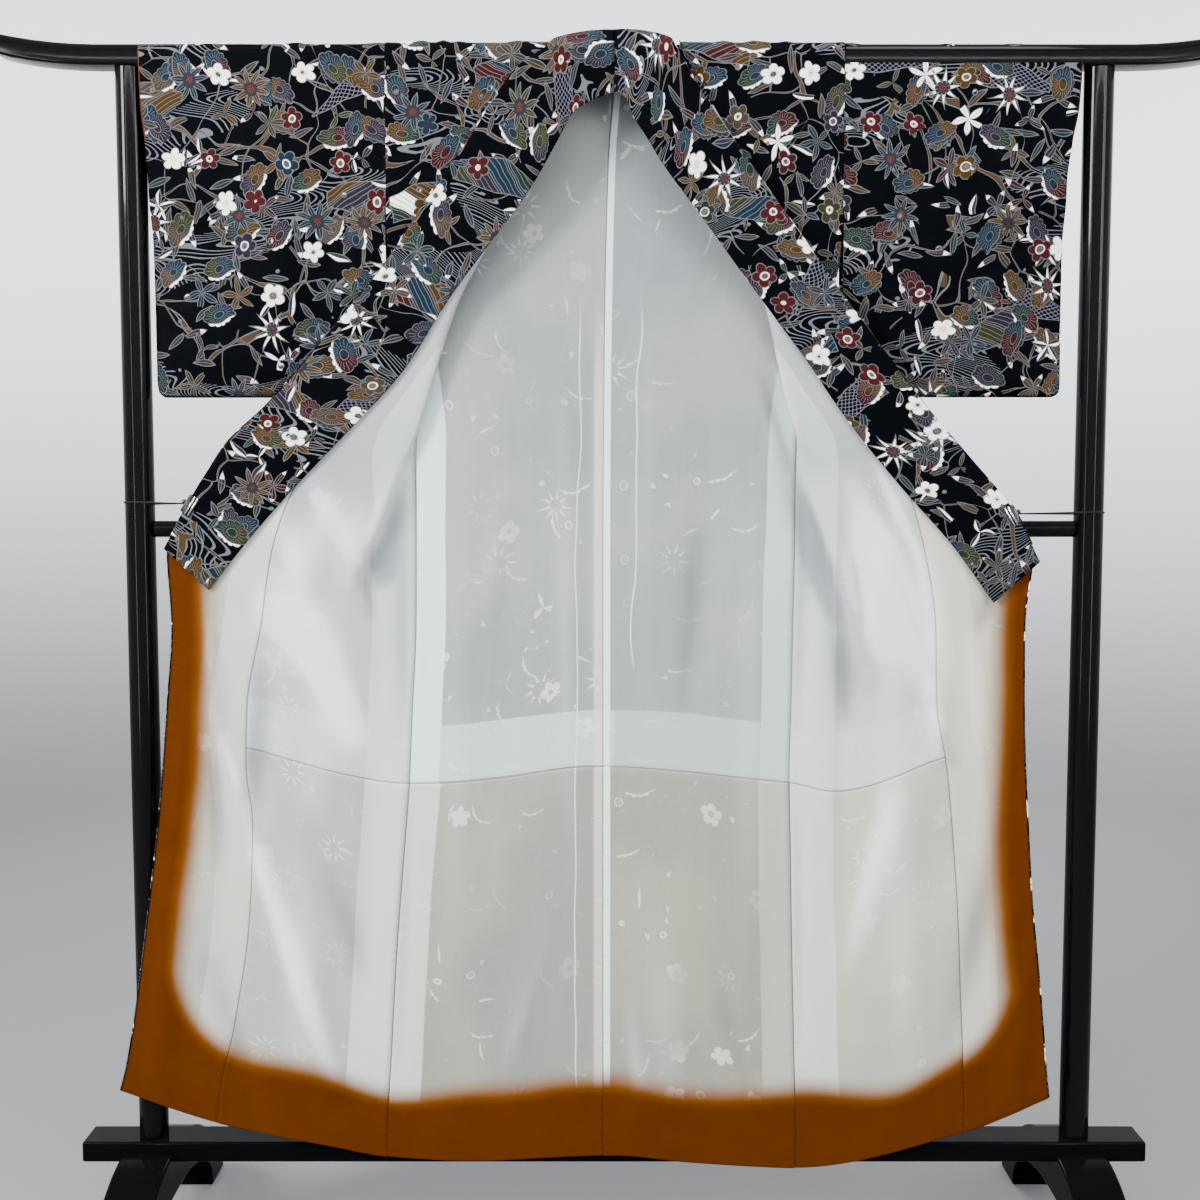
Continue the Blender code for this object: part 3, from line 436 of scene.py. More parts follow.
def light_studio():
    for name, place, aim, size, power, colour in LIGHTS:
        data = bpy.data.lights.new(name, "AREA")
        data.shape = "RECTANGLE"
        data.size, data.size_y = size
        data.energy = power
        data.color = colour
        thing = bpy.data.objects.new(name, data)
        thing.location = place
        thing.rotation_euler = (Vector(aim) - Vector(place)).to_track_quat("-Z", "Y").to_euler()
        bpy.context.scene.collection.objects.link(thing)
    world = bpy.data.worlds.new("studio_air")
    world.use_nodes = True
    air = world.node_tree.nodes["Background"]
    air.inputs["Color"].default_value = AIR_COLOUR
    air.inputs["Strength"].default_value = AIR_STRENGTH
    bpy.context.scene.world = world


# Shader maths
class Strand:
    """A socket of a finish. Sums written on it add the Math nodes that they need."""

    def __init__(self, finish, socket):
        self.finish = finish
        self.socket = socket

    def out(self, name):
        """Another output of the same node."""
        return Strand(self.finish, self.socket.node.outputs[name])

    def maths(self, operation, *values):
        return self.finish.node("ShaderNodeMath", {"operation": operation}, dict(enumerate(values)))

    def __add__(self, other):
        return self.maths("ADD", self, other)

    def __radd__(self, other):
        return self.maths("ADD", other, self)

    def __sub__(self, other):
        return self.maths("SUBTRACT", self, other)

    def __rsub__(self, other):
        return self.maths("SUBTRACT", other, self)

    def __mul__(self, other):
        return self.maths("MULTIPLY", self, other)

    def __rmul__(self, other):
        return self.maths("MULTIPLY", other, self)

    def __truediv__(self, other):
        return self.maths("DIVIDE", self, other)

    def __rtruediv__(self, other):
        return self.maths("DIVIDE", other, self)

    def __pow__(self, other):
        return self.maths("POWER", self, other)

    def __neg__(self):
        return self.maths("MULTIPLY", self, -1.0)

    def __abs__(self):
        return self.maths("ABSOLUTE", self)

    def __lt__(self, other):
        return self.maths("LESS_THAN", self, other)

    def __gt__(self, other):
        return self.maths("GREATER_THAN", self, other)

    def least(self, other):
        return self.maths("MINIMUM", self, other)

    def most(self, other):
        return self.maths("MAXIMUM", self, other)

    def sine(self):
        return self.maths("SINE", self)

    def cosine(self):
        return self.maths("COSINE", self)

    def part(self):
        """What is left of a number after its whole part."""
        return self.maths("FRACT", self)

    def ease(self, low, high, first=0.0, last=1.0):
        """Goes softly from first to last as the number goes from low to high."""
        settings = {"interpolation_type": "SMOOTHSTEP"}
        values = {0: self, 1: low, 2: high, 3: first, 4: last}
        return self.finish.node("ShaderNodeMapRange", settings, values)


class Finish:
    """The nodes of one material or node group."""

    def __init__(self, tree):
        self.tree = tree

    def node(self, kind, settings=(), inputs=(), out=None):
        """Any node: its type, its settings, then what feeds its sockets."""
        made = self.tree.nodes.new(kind)
        for name, value in dict(settings).items():
            if name == "stops":
                self.set_stops(made.color_ramp, value)
            elif name == "ramp":
                made.color_ramp.interpolation = value
            else:
                setattr(made, name, value)
        for key, value in dict(inputs).items():
            self.feed(made.inputs[key], value)
        if out is None:
            out = next(i for i, socket in enumerate(made.outputs) if socket.enabled)
        return Strand(self, made.outputs[out])

    def feed(self, socket, value):
        if isinstance(value, Strand):
            self.tree.links.new(value.socket, socket)
        elif isinstance(value, tuple) and socket.type == "RGBA":
            socket.default_value = (*value, 1.0)
        else:
            socket.default_value = value

    def set_stops(self, ramp, stops):
        while len(ramp.elements) > 1:
            ramp.elements.remove(ramp.elements[-1])
        ramp.elements[0].position = stops[0][0]
        ramp.elements[0].color = (*stops[0][1], 1.0)
        for place, colour in stops[1:]:
            ramp.elements.new(place).color = (*colour, 1.0)

    def mix(self, share, one, two):
        """Colour one where share is 0 and colour two where it is 1."""
        return self.node("ShaderNodeMix", {"data_type": "RGBA"}, {0: share, 6: one, 7: two}, 2)

    def tint(self, share, one, two):
        settings = {"data_type": "RGBA", "blend_type": "MULTIPLY"}
        return self.node("ShaderNodeMix", settings, {0: share, 6: one, 7: two}, 2)

    def mist(self, place, scale, detail=2.0, rough=0.5, shape="2D"):
        inputs = {"Vector": place, "Scale": scale, "Detail": detail, "Roughness": rough}
        return self.node("ShaderNodeTexNoise", {"noise_dimensions": shape}, inputs)

    def vector(self, operation, one, two):
        return self.node("ShaderNodeVectorMath", {"operation": operation}, {0: one, 1: two})

    def scaled(self, one, factor):
        return self.node("ShaderNodeVectorMath", {"operation": "SCALE"}, {0: one, "Scale": factor})

    def split(self, vector):
        made = self.node("ShaderNodeSeparateXYZ", {}, {0: vector})
        return made.out("X"), made.out("Y"), made.out("Z")

    def join(self, x, y, z=0.0):
        return self.node("ShaderNodeCombineXYZ", {}, {0: x, 1: y, 2: z})

    def map_of(self, name):
        return self.node("ShaderNodeUVMap", {"uv_map": name})

    def spot(self):
        """The place on the object, in metres."""
        return self.node("ShaderNodeTexCoord", out="Object")

    def stored(self, name):
        """A number kept with each point of the mesh."""
        return self.node("ShaderNodeAttribute", {"attribute_name": name}, out="Fac")

    def bump(self, height, distance, strength=1.0):
        inputs = {"Height": height, "Distance": distance, "Strength": strength}
        return self.node("ShaderNodeBump", {}, inputs)


def new_finish(name, **constants):
    """A material with its own Principled shader; constants are set on the shader's sockets."""
    mat = bpy.data.materials.new(name)
    mat.use_nodes = True
    shader = mat.node_tree.nodes["Principled BSDF"]
    finish = Finish(mat.node_tree)
    for key, value in constants.items():
        finish.feed(shader.inputs[key.replace("_", " ")], value)
    return mat, finish, shader


# The print: motifs are laid out in decimetres of flat cloth
PALE_LINE = (0.076, 0.074, 0.077)
GROUND = (0.0005, 0.0008, 0.0016)
WHITE = (0.80, 0.79, 0.74)
CRIMSON = (0.0300, 0.0050, 0.0062)
RUST = (0.052, 0.0145, 0.0065)
BARK = (0.038, 0.024, 0.013)
WHITE_SHARE = 0.12
VEIN = 0.0035
DYES = (
    (0.00, WHITE),
    (0.11, (0.0050, 0.0125, 0.0220)),
    (0.29, (0.0330, 0.0170, 0.0042)),
    (0.52, (0.0160, 0.0180, 0.0070)),
    (0.64, (0.0065, 0.0155, 0.0115)),
    (0.73, (0.0230, 0.0046, 0.0056)),
    (0.82, (0.0300, 0.0205, 0.0140)),
    (0.91, (0.0115, 0.0088, 0.0160)),
)
INK = (0.0130, 0.0150, 0.0190)


class Motif:
    """One scattered motif: where a point lies in its cell, and the cell's chance numbers."""

    def __init__(self, finish, place, scale, spread, turn=6.283):
        settings = {"voronoi_dimensions": "2D", "feature": "F1"}
        cell = finish.node("ShaderNodeTexVoronoi", settings,
                           {"Vector": place, "Scale": scale, "Randomness": spread})
        chance = finish.node("ShaderNodeSeparateColor", {}, {0: cell.out("Color")})
        self.one = chance
        self.two = chance.out("Green")
        self.three = chance.out("Blue")
        away = finish.vector("SUBTRACT", place, cell.out("Position"))
        angle = (self.three - 0.5) * turn
        turned = finish.node("ShaderNodeVectorRotate", {"rotation_type": "Z_AXIS"},
                             {"Vector": away, "Angle": angle})
        self.x, self.y, _ = finish.split(turned)
        self.radius = finish.node("ShaderNodeVectorMath", {"operation": "LENGTH"}, {0: turned}, "Value")
        self.angle = self.y.maths("ARCTAN2", self.y, self.x)


def lay(finish, below, fill, edge, colour, line=0.0055, rim_colour=PALE_LINE):
    """Puts a filled shape with a pale outline over what is below it."""
    inside = (edge < 0.0) * fill
    rim = (abs(edge) < line) * fill
    return finish.mix(rim, finish.mix(inside, below, colour), rim_colour)


def pick_dye(finish, chance):
    return finish.node("ShaderNodeValToRGB", {"stops": DYES, "ramp": "CONSTANT"}, {0: chance})


def pick_colour(finish, chance):
    """A dye that is never white."""
    return pick_dye(finish, chance * (1.0 - WHITE_SHARE) + WHITE_SHARE)


def folded(motif, count):
    """A point's place in one slice of a motif that repeats round its middle."""
    slices = count / (2 * math.pi)
    turn = ((motif.angle * slices + 16.0).part() - 0.5) * (1.0 / slices)
    return motif.radius * turn.cosine(), motif.radius * turn.sine()


def print_twigs(finish, place, below, scale, width, share):
    """Branching twigs: two pale lines with brown or black bark between them."""
    wander = finish.mist(place, 0.45, 2.0)
    bent = finish.vector("ADD", place, finish.scaled(wander.out("Color"), 1.6))
    settings = {"voronoi_dimensions": "2D", "feature": "DISTANCE_TO_EDGE"}
    inputs = {"Vector": bent, "Scale": scale, "Randomness": 1.0}
    net = finish.node("ShaderNodeTexVoronoi", settings, inputs)
    there = finish.mist(place, 0.8, 1.0)
    swell = finish.mist(place, 2.6, 0.0)
    edge = net - (swell - 0.25) * width
    bark = finish.mix(swell > 0.52, (0.0010, 0.0012, 0.0020), BARK)
    return lay(finish, below, there > share, edge, bark, 0.0046)


def print_water(finish, place, below):
    """Slow swirls of water in close pale lines."""
    x, y, _ = finish.split(place)
    stretched = finish.join(x * 0.62, y * 1.8)
    pool = finish.mist(stretched, 0.62, 0.0)
    lines = (finish.mist(stretched, 0.85, 0.6) * 34.0).part()
    stroke = (abs(lines - 0.5) < 0.13) * (pool > 0.585)
    return finish.mix(stroke, below, (0.078, 0.084, 0.098))


def print_leaves(finish, place, below, scale, length, width, share):
    """Single pointed leaves, one half of each in a dye."""
    leaf = Motif(finish, place, scale, 0.9)
    edge = abs(leaf.y) - (1.0 - (leaf.x / length) ** 2.0) * width
    half = finish.mix(leaf.y > 0.0, pick_dye(finish, leaf.one), INK)
    tip = finish.mix((leaf.x > 0.35 * length) * (leaf.one > 0.72), half, WHITE)
    vein = finish.mix(abs(leaf.y) < VEIN, tip, PALE_LINE)
    return lay(finish, below, leaf.two < share, edge, vein)


def print_sprigs(finish, place, below, scale, size, count, share):
    """Sprigs of pointed leaves that spread from one place."""
    sprig = Motif(finish, place, scale, 0.85)
    x, y = folded(sprig, count)
    half = size * 0.5
    edge = abs(y) - (1.0 - ((x - half) / half) ** 2.0) * (0.17 * size)
    dyed = finish.mix((y > 0.0) * (sprig.three > 0.4), pick_dye(finish, sprig.one), INK)
    tip = finish.mix((x > (0.66 + 0.30 * sprig.three) * size) * (sprig.one > 0.62), dyed, WHITE)
    vein = finish.mix(abs(y) < VEIN, tip, PALE_LINE)
    return lay(finish, below, sprig.two < share, edge, vein)


def print_clumps(finish, place, below, scale, size, share):
    """Rounded pine clumps with scalloped rims and fine ribs, in two dyes over a white foot."""
    clump = Motif(finish, place, scale, 0.8, 2.6)
    lobes = abs((clump.angle * 5.5).cosine())
    rim = size * (0.82 + 0.18 * lobes ** 0.6)
    flat = clump.y * 1.55
    reach = (clump.x * clump.x + flat * flat) ** 0.5
    edge = (reach - rim) * 0.8
    dyes = (pick_colour(finish, clump.one), pick_colour(finish, clump.three))
    dyed = finish.mix(clump.x > 0.12 * size, *dyes)
    ribs = abs((clump.angle * 13.0).sine()) * reach < 0.040
    ribbed = finish.mix(ribs * (reach > 0.42 * size) * (reach < 0.86 * rim), dyed, PALE_LINE)
    eye = finish.mix(abs(reach - 0.30 * size) < 0.006, ribbed, PALE_LINE)
    bank = clump.y + 0.36 * size + (clump.x * 14.0).cosine() * 0.024
    foot = finish.mix(bank < 0.0, eye, finish.mix(clump.three > 0.45, INK, WHITE))
    crest = finish.mix(abs(bank) < 0.006, foot, PALE_LINE)
    return lay(finish, below, clump.two < share, edge, crest)


def print_hills(finish, place, below, share):
    """Long hill shapes filled with a round lattice or with slanting stripes."""
    hill = Motif(finish, place, 0.66, 0.85, 1.1)
    wave = hill.x * 1.9 + hill.three * 4.0
    top = 0.10 + 0.13 * wave.sine() + 0.06 * (hill.x * 4.3).cosine()
    edge = (hill.y - top).most(-0.14 - hill.y + 0.05 * (hill.x * 3.0).sine())
    edge = edge.most(abs(hill.x) - 0.50)
    slant = hill.x * 0.72 + hill.y
    cross = hill.x * 0.72 - hill.y
    net = (slant * 52.0).sine() * (cross * 52.0).sine()
    step = (slant * 3.4).maths("FLOOR", slant * 3.4)
    dye = pick_dye(finish, (hill.one + step * 0.37).part())
    stripes = abs((slant * 13.6).part() - 0.5) < 0.08
    ribbed = finish.mix(stripes, dye, PALE_LINE)
    seams = finish.mix(abs((slant * 3.4).part() - 0.5) > 0.475, ribbed, PALE_LINE)
    lattice = finish.mix(abs(net) < 0.25, (0.0010, 0.0012, 0.0030), (0.072, 0.072, 0.094))
    fill = finish.mix(hill.three > 0.5, seams, lattice)
    return lay(finish, below, hill.two < share, edge, fill, 0.0065)


def print_stars(finish, place, below, scale, size, share):
    """Starry thistles and pointed maple leaves round a small crimson heart."""
    star = Motif(finish, place, scale, 0.8)
    x, y = folded(star, 9)
    reach = x / size
    spike = 1.0 - reach
    lens = reach * spike * 3.2
    maple = star.one > 0.5
    edge = abs(y) - (spike + (lens - spike) * maple) * (0.16 * size)
    dye = finish.mix(maple, WHITE, pick_dye(finish, star.three * 0.5 + 0.13))
    spine = finish.mix((abs(y) < VEIN) * maple, dye, PALE_LINE)
    tuft = finish.mix(star.radius < 0.40 * size, spine, INK)
    heart = finish.mix(star.radius < 0.27 * size, tuft, CRIMSON)
    thorns = (abs((star.angle * 7.0).sine()) * star.radius < 0.012) * (star.radius < 0.27 * size)
    edge = edge.least(star.radius - 0.40 * size * maple - 0.27 * size * (1.0 - maple))
    pricked = finish.mix(thorns * (star.radius > 0.06 * size), heart, (0.17, 0.10, 0.08))
    return lay(finish, below, star.two < share, edge * 0.9, pricked)


def print_blossoms(finish, place, below, scale, size, share):
    """Plum blossoms: five round petals, a ringed eye and fine stamens."""
    bloom = Motif(finish, place, scale, 0.85)
    x, y = folded(bloom, 5)
    out = x - 0.60 * size
    petal = (out * out + y * y) ** 0.5 - 0.40 * size
    edge = petal.least(bloom.radius - 0.45 * size)
    plain = finish.mix(bloom.one > 0.44, WHITE, CRIMSON)
    dye = finish.mix(bloom.one > 0.74, plain, pick_colour(finish, bloom.three))
    cleft = (abs(petal) < 0.006) * (bloom.radius > 0.40 * size)
    petals = finish.mix(cleft, dye, (0.10, 0.095, 0.10))
    stamens = (abs((bloom.angle * 7.5).sine()) * bloom.radius < 0.010) * (bloom.radius < 0.58 * size)
    inner = finish.mix(stamens, petals, (0.060, 0.028, 0.008))
    pollen = stamens * (bloom.radius > 0.10 * size)
    core = finish.mix(pollen, pick_colour(finish, bloom.three), (0.30, 0.29, 0.28))
    eye = finish.mix(bloom.radius < 0.42 * size, inner, core)
    ring = finish.mix(abs(bloom.radius - 0.41 * size) < 0.007, eye, (0.52, 0.50, 0.46))
    return lay(finish, below, bloom.two < share, edge, ring)


def print_berries(finish, place, below, share):
    """Berries on the twigs, each half in a dye and half white."""
    berry = Motif(finish, place, 3.0, 0.9)
    edge = berry.radius - 0.046
    dye = finish.mix(berry.y > 0.010, pick_colour(finish, berry.one), WHITE)
    spot = finish.mix(abs(berry.radius - 0.026) < 0.004, dye, PALE_LINE)
    return lay(finish, below, berry.two < share, edge, spot)


def make_print_group(name, full):
    """The printed cloth as a node group: flat cloth place in metres in, colour out.

    The short form holds only the motifs that are pale enough to show through the lining."""
    group = bpy.data.node_groups.new(name, "ShaderNodeTree")
    group.interface.new_socket("Place", in_out="INPUT", socket_type="NodeSocketVector")
    group.interface.new_socket("Colour", in_out="OUTPUT", socket_type="NodeSocketColor")
    finish = Finish(group)
    place = finish.scaled(finish.node("NodeGroupInput"), 10.0)
    drawn = finish.mist(place, 2.2, 1.0)
    hand = finish.vector("ADD", place, finish.scaled(drawn.out("Color"), 0.11))
    other = finish.vector("ADD", hand, (3.7, 1.9, 0.0))
    third = finish.vector("ADD", hand, (-2.3, 5.1, 0.0))
    fourth = finish.vector("ADD", hand, (7.9, -3.3, 0.0))
    if full:
        colour = print_water(finish, place, GROUND)
        colour = print_twigs(finish, hand, colour, 0.85, 0.055, 0.44)
        colour = print_leaves(finish, fourth, colour, 2.9, 0.165, 0.040, 0.55)
        colour = print_twigs(finish, fourth, colour, 1.25, 0.030, 0.42)
        colour = print_sprigs(finish, other, colour, 1.9, 0.225, 3, 0.42)
        colour = print_hills(finish, other, colour, 0.62)
        colour = print_leaves(finish, third, colour, 2.5, 0.175, 0.042, 0.40)
    else:
        colour = print_leaves(finish, fourth, GROUND, 2.9, 0.165, 0.040, 0.50)
        colour = print_sprigs(finish, other, colour, 1.9, 0.225, 3, 0.42)
    colour = print_clumps(finish, hand, colour, 1.55, 0.235, 0.52)
    if full:
        colour = print_clumps(finish, third, colour, 1.40, 0.250, 0.34)
        colour = print_sprigs(finish, fourth, colour, 1.7, 0.250, 5, 0.26)
    colour = print_stars(finish, other, colour, 1.20, 0.275, 0.40)
    colour = print_blossoms(finish, third, colour, 1.75, 0.170, 0.30)
    colour = print_berries(finish, fourth, colour, 0.34)
    last = group.nodes.new("NodeGroupOutput")
    finish.feed(last.inputs[0], colour)
    return group


def printed(finish, group, place):
    return finish.node("ShaderNodeGroup", {"node_tree": group}, {0: place})


def make_komon_silk(group, wrist=False):
    """Printed silk; a sleeve's lining shows as a narrow rust edge round its wrist opening."""
    name = "sleeve_silk_finish" if wrist else "komon_silk_finish"
    mat, finish, shader = new_finish(name, Specular_IOR_Level=0.015)
    cloth = finish.map_of("cloth")
    colour = printed(finish, group, cloth)
    if wrist:
        _, from_end, _ = finish.split(finish.map_of("bands"))
        _, _, height = finish.split(finish.spot())
        edge = from_end.ease(0.0012, 0.0020, 1.0, 0.0) * (height > WRIST_SEAM_TOP)
        colour = finish.mix(edge, colour, RUST)
    grain = finish.mist(cloth, 650.0, 1.0)
    worn = finish.tint(grain.ease(0.35, 0.75) * 0.30, colour, (0.55, 0.55, 0.55))
    finish.feed(shader.inputs["Base Color"], worn)
    height = grain * 0.4 + finish.mist(cloth, 30.0, 2.0) * 2.4
    finish.feed(shader.inputs["Normal"], finish.bump(height, 0.0004, 0.8))
    finish.feed(shader.inputs["Roughness"], finish.mist(cloth, 40.0, 2.0).ease(0.2, 0.8, 0.52, 0.66))
    return mat


SILVER = (0.192, 0.212, 0.220)
PEARL = (0.330, 0.350, 0.360)
CLEAR = (0.560, 0.700, 0.690)
MIST = (0.480, 0.520, 0.520)
CREAM = (0.470, 0.500, 0.460)
MILK = (0.420, 0.415, 0.370)
WARM_GREY = (0.194, 0.202, 0.179)
SOFT_GREY = (0.290, 0.305, 0.275)
ORANGE = (0.0600, 0.0138, 0.0002)
BORDER_REACH = 0.56
# Height of the orange border over the hem, along the hem from end to end, as shares of its width
BORDER_HEIGHT = tuple((place, (height,) * 3) for place, height in (
    (0.06, 0.112), (0.15, 0.108), (0.21, 0.084), (0.27, 0.095), (0.36, 0.106), (0.45, 0.112),
    (0.52, 0.104), (0.62, 0.101), (0.70, 0.110), (0.77, 0.121), (0.85, 0.088), (0.91, 0.104),
    (0.97, 0.118),
))


def band_of(distance, width, soft=0.0010):
    """1 within a width of an edge, then 0: a seam allowance that shows through."""
    return distance.ease(width - soft, width + soft, 1.0, 0.0)


def line_at(distance, place, half=0.0009):
    """A fine pale line at a distance from an edge, as the raw edge of an allowance makes."""
    return (abs(distance - place)).ease(half * 0.4, half * 1.6, 1.0, 0.0)


# Flat cloth near the centre seam lies on the left panel below this place, on the right one above
RIGHT_OF_SEAM = 0.26
SEAM_STRIP = 0.0095
SHADOW_WIDTH = 0.0095


def make_lining_finish(name, ghosts, ground, pale, allowances, border=False, top_band=None,
                       centre=False, shade=False, shadow_side=0):
    """Lining silk: seam allowances and the print's pale motifs show through it.

    allowances is the width of the allowance along the first and the last edge. border says
    whether the orange gradation runs along the hem and the front edge. shadow_side is the half,
    -1 left or 1 right, on which the side seam throws a shadow."""
    mat, finish, shader = new_finish(name, Specular_IOR_Level=0.03, Coat_Weight=0.55,
                                     Coat_Roughness=0.42, Coat_IOR=1.5)
    cloth = finish.map_of("cloth")
    x, y, _ = finish.split(cloth)
    first, last, _ = finish.split(finish.map_of("bands"))
    edge, rise, _ = finish.split(finish.map_of("border"))
    across, _, _ = finish.split(finish.spot())
    tone = finish.mist(cloth, 4.2, 2.0)
    streak = finish.mist(finish.join(x * 9.0, y * 0.5), 9.0, 2.0)
    lighter = tuple(c * f for c, f in zip(ground, (1.24, 1.20, 1.10)))
    base = finish.mix(tone.ease(0.36, 0.64), ground, lighter)
    base = finish.mix(streak.ease(0.35, 0.7) * 0.02, base, pale)
    touching = finish.mist(cloth, 7.0, 2.0).ease(0.38, 0.66)
    ghost = finish.node("ShaderNodeRGBToBW", {}, {0: printed(finish, ghosts, cloth)})
    bright = ghost.ease(0.02, 0.28) * (0.20 + 0.70 * touching)
    colour = finish.mix(bright, base, (0.50, 0.52, 0.47))
    sway = finish.mist(cloth, 5.0, 1.0) - 0.5
    allowance = None
    for distance, width in ((first, allowances[0]), (last, allowances[1])):
        if width:
            found = band_of(distance + sway * 0.006, width)
            allowance = found if allowance is None else allowance.most(found)
    if top_band:
        found = band_of(rise + sway * 0.010, top_band, 0.0015) * 0.52
        allowance = found if allowance is None else allowance.most(found)
    if allowance is not None:
        colour = finish.mix(allowance * 0.86, colour, pale)
    if centre:
        if allowance is not None:
            colour = finish.tint(allowance * (across > 0.0) * 0.9, colour, (0.66, 0.66, 0.64))
        right = x > RIGHT_OF_SEAM
        strip = band_of(last, SEAM_STRIP, 0.0006) * right
        beside = band_of(last, 0.013, 0.003) * (1.0 - right) * 0.55
        fine = line_at(last + sway * 0.016, 0.036) * (1.0 - right)
        fine = fine.most(line_at(last + sway * 0.034, 0.041) * right * y.ease(0.82, 0.86))
        fine = fine * y.ease(1.28, 1.36, 1.0, 0.0)
        beside = beside * y.ease(1.20, 1.36, 1.0, 0.0)
        colour = finish.mix(beside, colour, (0.60, 0.57, 0.52))
        colour = finish.mix(strip * 0.92, colour, (0.66, 0.74, 0.76))
        colour = finish.mix(fine * 0.70, colour, (0.62, 0.70, 0.72))
    # Painted highlight on ridges and painted shade in troughs, partly the lining paler where it stands
    # off the black print
    lift = finish.stored("lift")
    colour = finish.mix(lift.ease(0.05, 1.0) * 0.72, colour, (0.76, 0.80, 0.81))
    colour = finish.tint(lift.ease(-1.1, -0.05, 0.90, 0.0), colour, (0.40, 0.41, 0.43))
    # Painted shade: a dark line in the groove along each sewn edge
    sewn = first.least(last).ease(0.0003, 0.0018, 1.0, 0.0)
    colour = finish.tint(sewn * 0.75, colour, (0.30, 0.30, 0.32))
    shadow = first.ease(0.0, SHADOW_WIDTH, 0.62, 0.0) * (across * shadow_side > 0.0)
    colour = finish.tint(shadow * y.ease(0.40, 0.80, 0.5, 1.0), colour, (0.34, 0.35, 0.37))
    # Painted shade: darker towards the top, where the collar and the fronts stand out over the lining
    if shade:
        deep = finish.mist(cloth, 3.0, 1.0) * 0.06
        far = (y + deep).ease(1.00, 1.45)
        colour = finish.tint(far * 0.40, colour, (0.40, 0.42, 0.46))
    if border:
        warm = finish.mix(across.ease(-0.2, 0.2), (0.97, 0.985, 1.0), (1.0, 0.975, 0.93))
        colour = finish.tint(0.9, colour, warm)
        drift = sway * 0.020
        round_off = across.ease(-0.2, 0.2, 0.120, 0.085)
        right = across > 0.0
        strip = 0.051 * (1.0 - right) + rise.ease(0.42, 0.62, 0.050, 0.033) * right
        side = (strip + round_off - edge + drift * 0.5).most(0.0)
        height = finish.node("ShaderNodeValToRGB", {"stops": BORDER_HEIGHT, "ramp": "B_SPLINE"},
                             {0: (across + BORDER_REACH) * (0.5 / BORDER_REACH)})
        low = (height + round_off - rise + drift).most(0.0)
        inside = (side * side + low * low) ** 0.5 - round_off
        dye = inside.ease(-0.026, 0.013)
        rich = finish.mix(inside.ease(-0.012, 0.026), (0.170, 0.060, 0.006), ORANGE)
        mottle = finish.mist(cloth, 22.0, 3.0).ease(0.3, 0.7)
        colour = finish.mix(dye, colour, finish.tint(mottle * 0.25, rich, (0.72, 0.72, 0.72)))
        finish.feed(shader.inputs["Coat Weight"], dye.ease(0.0, 1.0, 0.55, 0.0))
    finish.feed(shader.inputs["Base Color"], colour)
    ripple = finish.mist(finish.join(x * 1.5, y * 0.6), 9.0, 2.0)
    near = first.least(last)
    pucker = finish.mist(finish.join(x * 0.12, y), 170.0, 1.0) * near.ease(0.0005, 0.016, 1.0, 0.0)
    grain = finish.mist(finish.join(x * 2.4, y), 420.0, 1.0)
    height = ripple * 2.2 + grain * 0.08 + pucker * 0.75
    finish.feed(shader.inputs["Normal"], finish.bump(height, 0.0013, 0.85))
    finish.feed(shader.inputs["Roughness"], touching.ease(0.0, 1.0, 0.36, 0.50))
    return mat


def make_lacquer(name, gloss):
    mat, finish, shader = new_finish(name, Specular_IOR_Level=gloss)
    place = finish.spot()
    dust = finish.mist(place, 130.0, 4.0, 0.6, "3D")
    cloud = finish.mist(place, 3.0, 3.0, 0.5, "3D")
    black = finish.mix(cloud, (0.0012, 0.0012, 0.0014), (0.0026, 0.0026, 0.003))
    finish.feed(shader.inputs["Base Color"], black)
    finish.feed(shader.inputs["Roughness"], dust.ease(0.3, 0.8, 0.05, 0.11) + cloud * 0.04)
    waves = finish.mist(place, 14.0, 2.0, 0.5, "3D")
    finish.feed(shader.inputs["Normal"], finish.bump(waves, 0.0006, 0.35))
    return mat


def make_steel():
    mat, finish, shader = new_finish("bright_steel", Metallic=1.0)
    place = finish.spot()
    rub = finish.mist(place, 500.0, 3.0, 0.6, "3D")
    rod = finish.stored("rod")
    # Painted reflection: the jaws are near black, standing for the dark studio they mirror; the beads
    # keep bright steel
    painted_dark_reflection = finish.mix(rub, (0.020, 0.020, 0.022), (0.045, 0.045, 0.048))
    finish.feed(shader.inputs["Base Color"], finish.mix(rod, painted_dark_reflection, (0.82, 0.82, 0.83)))
    finish.feed(shader.inputs["Roughness"], rub.ease(0.2, 0.8, 0.16, 0.34))
    return mat


def make_thread_finish():
    mat, finish, shader = new_finish("black_cotton_thread", Roughness=0.8, Specular_IOR_Level=0.2)
    place = finish.spot()
    x, y, z = finish.split(place)
    twist = ((x + z * 0.6 + y) * 3600.0).sine()
    strands = finish.mix(twist.ease(-1.0, 1.0), (0.002, 0.002, 0.002), (0.014, 0.014, 0.015))
    finish.feed(shader.inputs["Base Color"], strands)
    finish.feed(shader.inputs["Normal"], finish.bump(twist, 0.0002))
    return mat


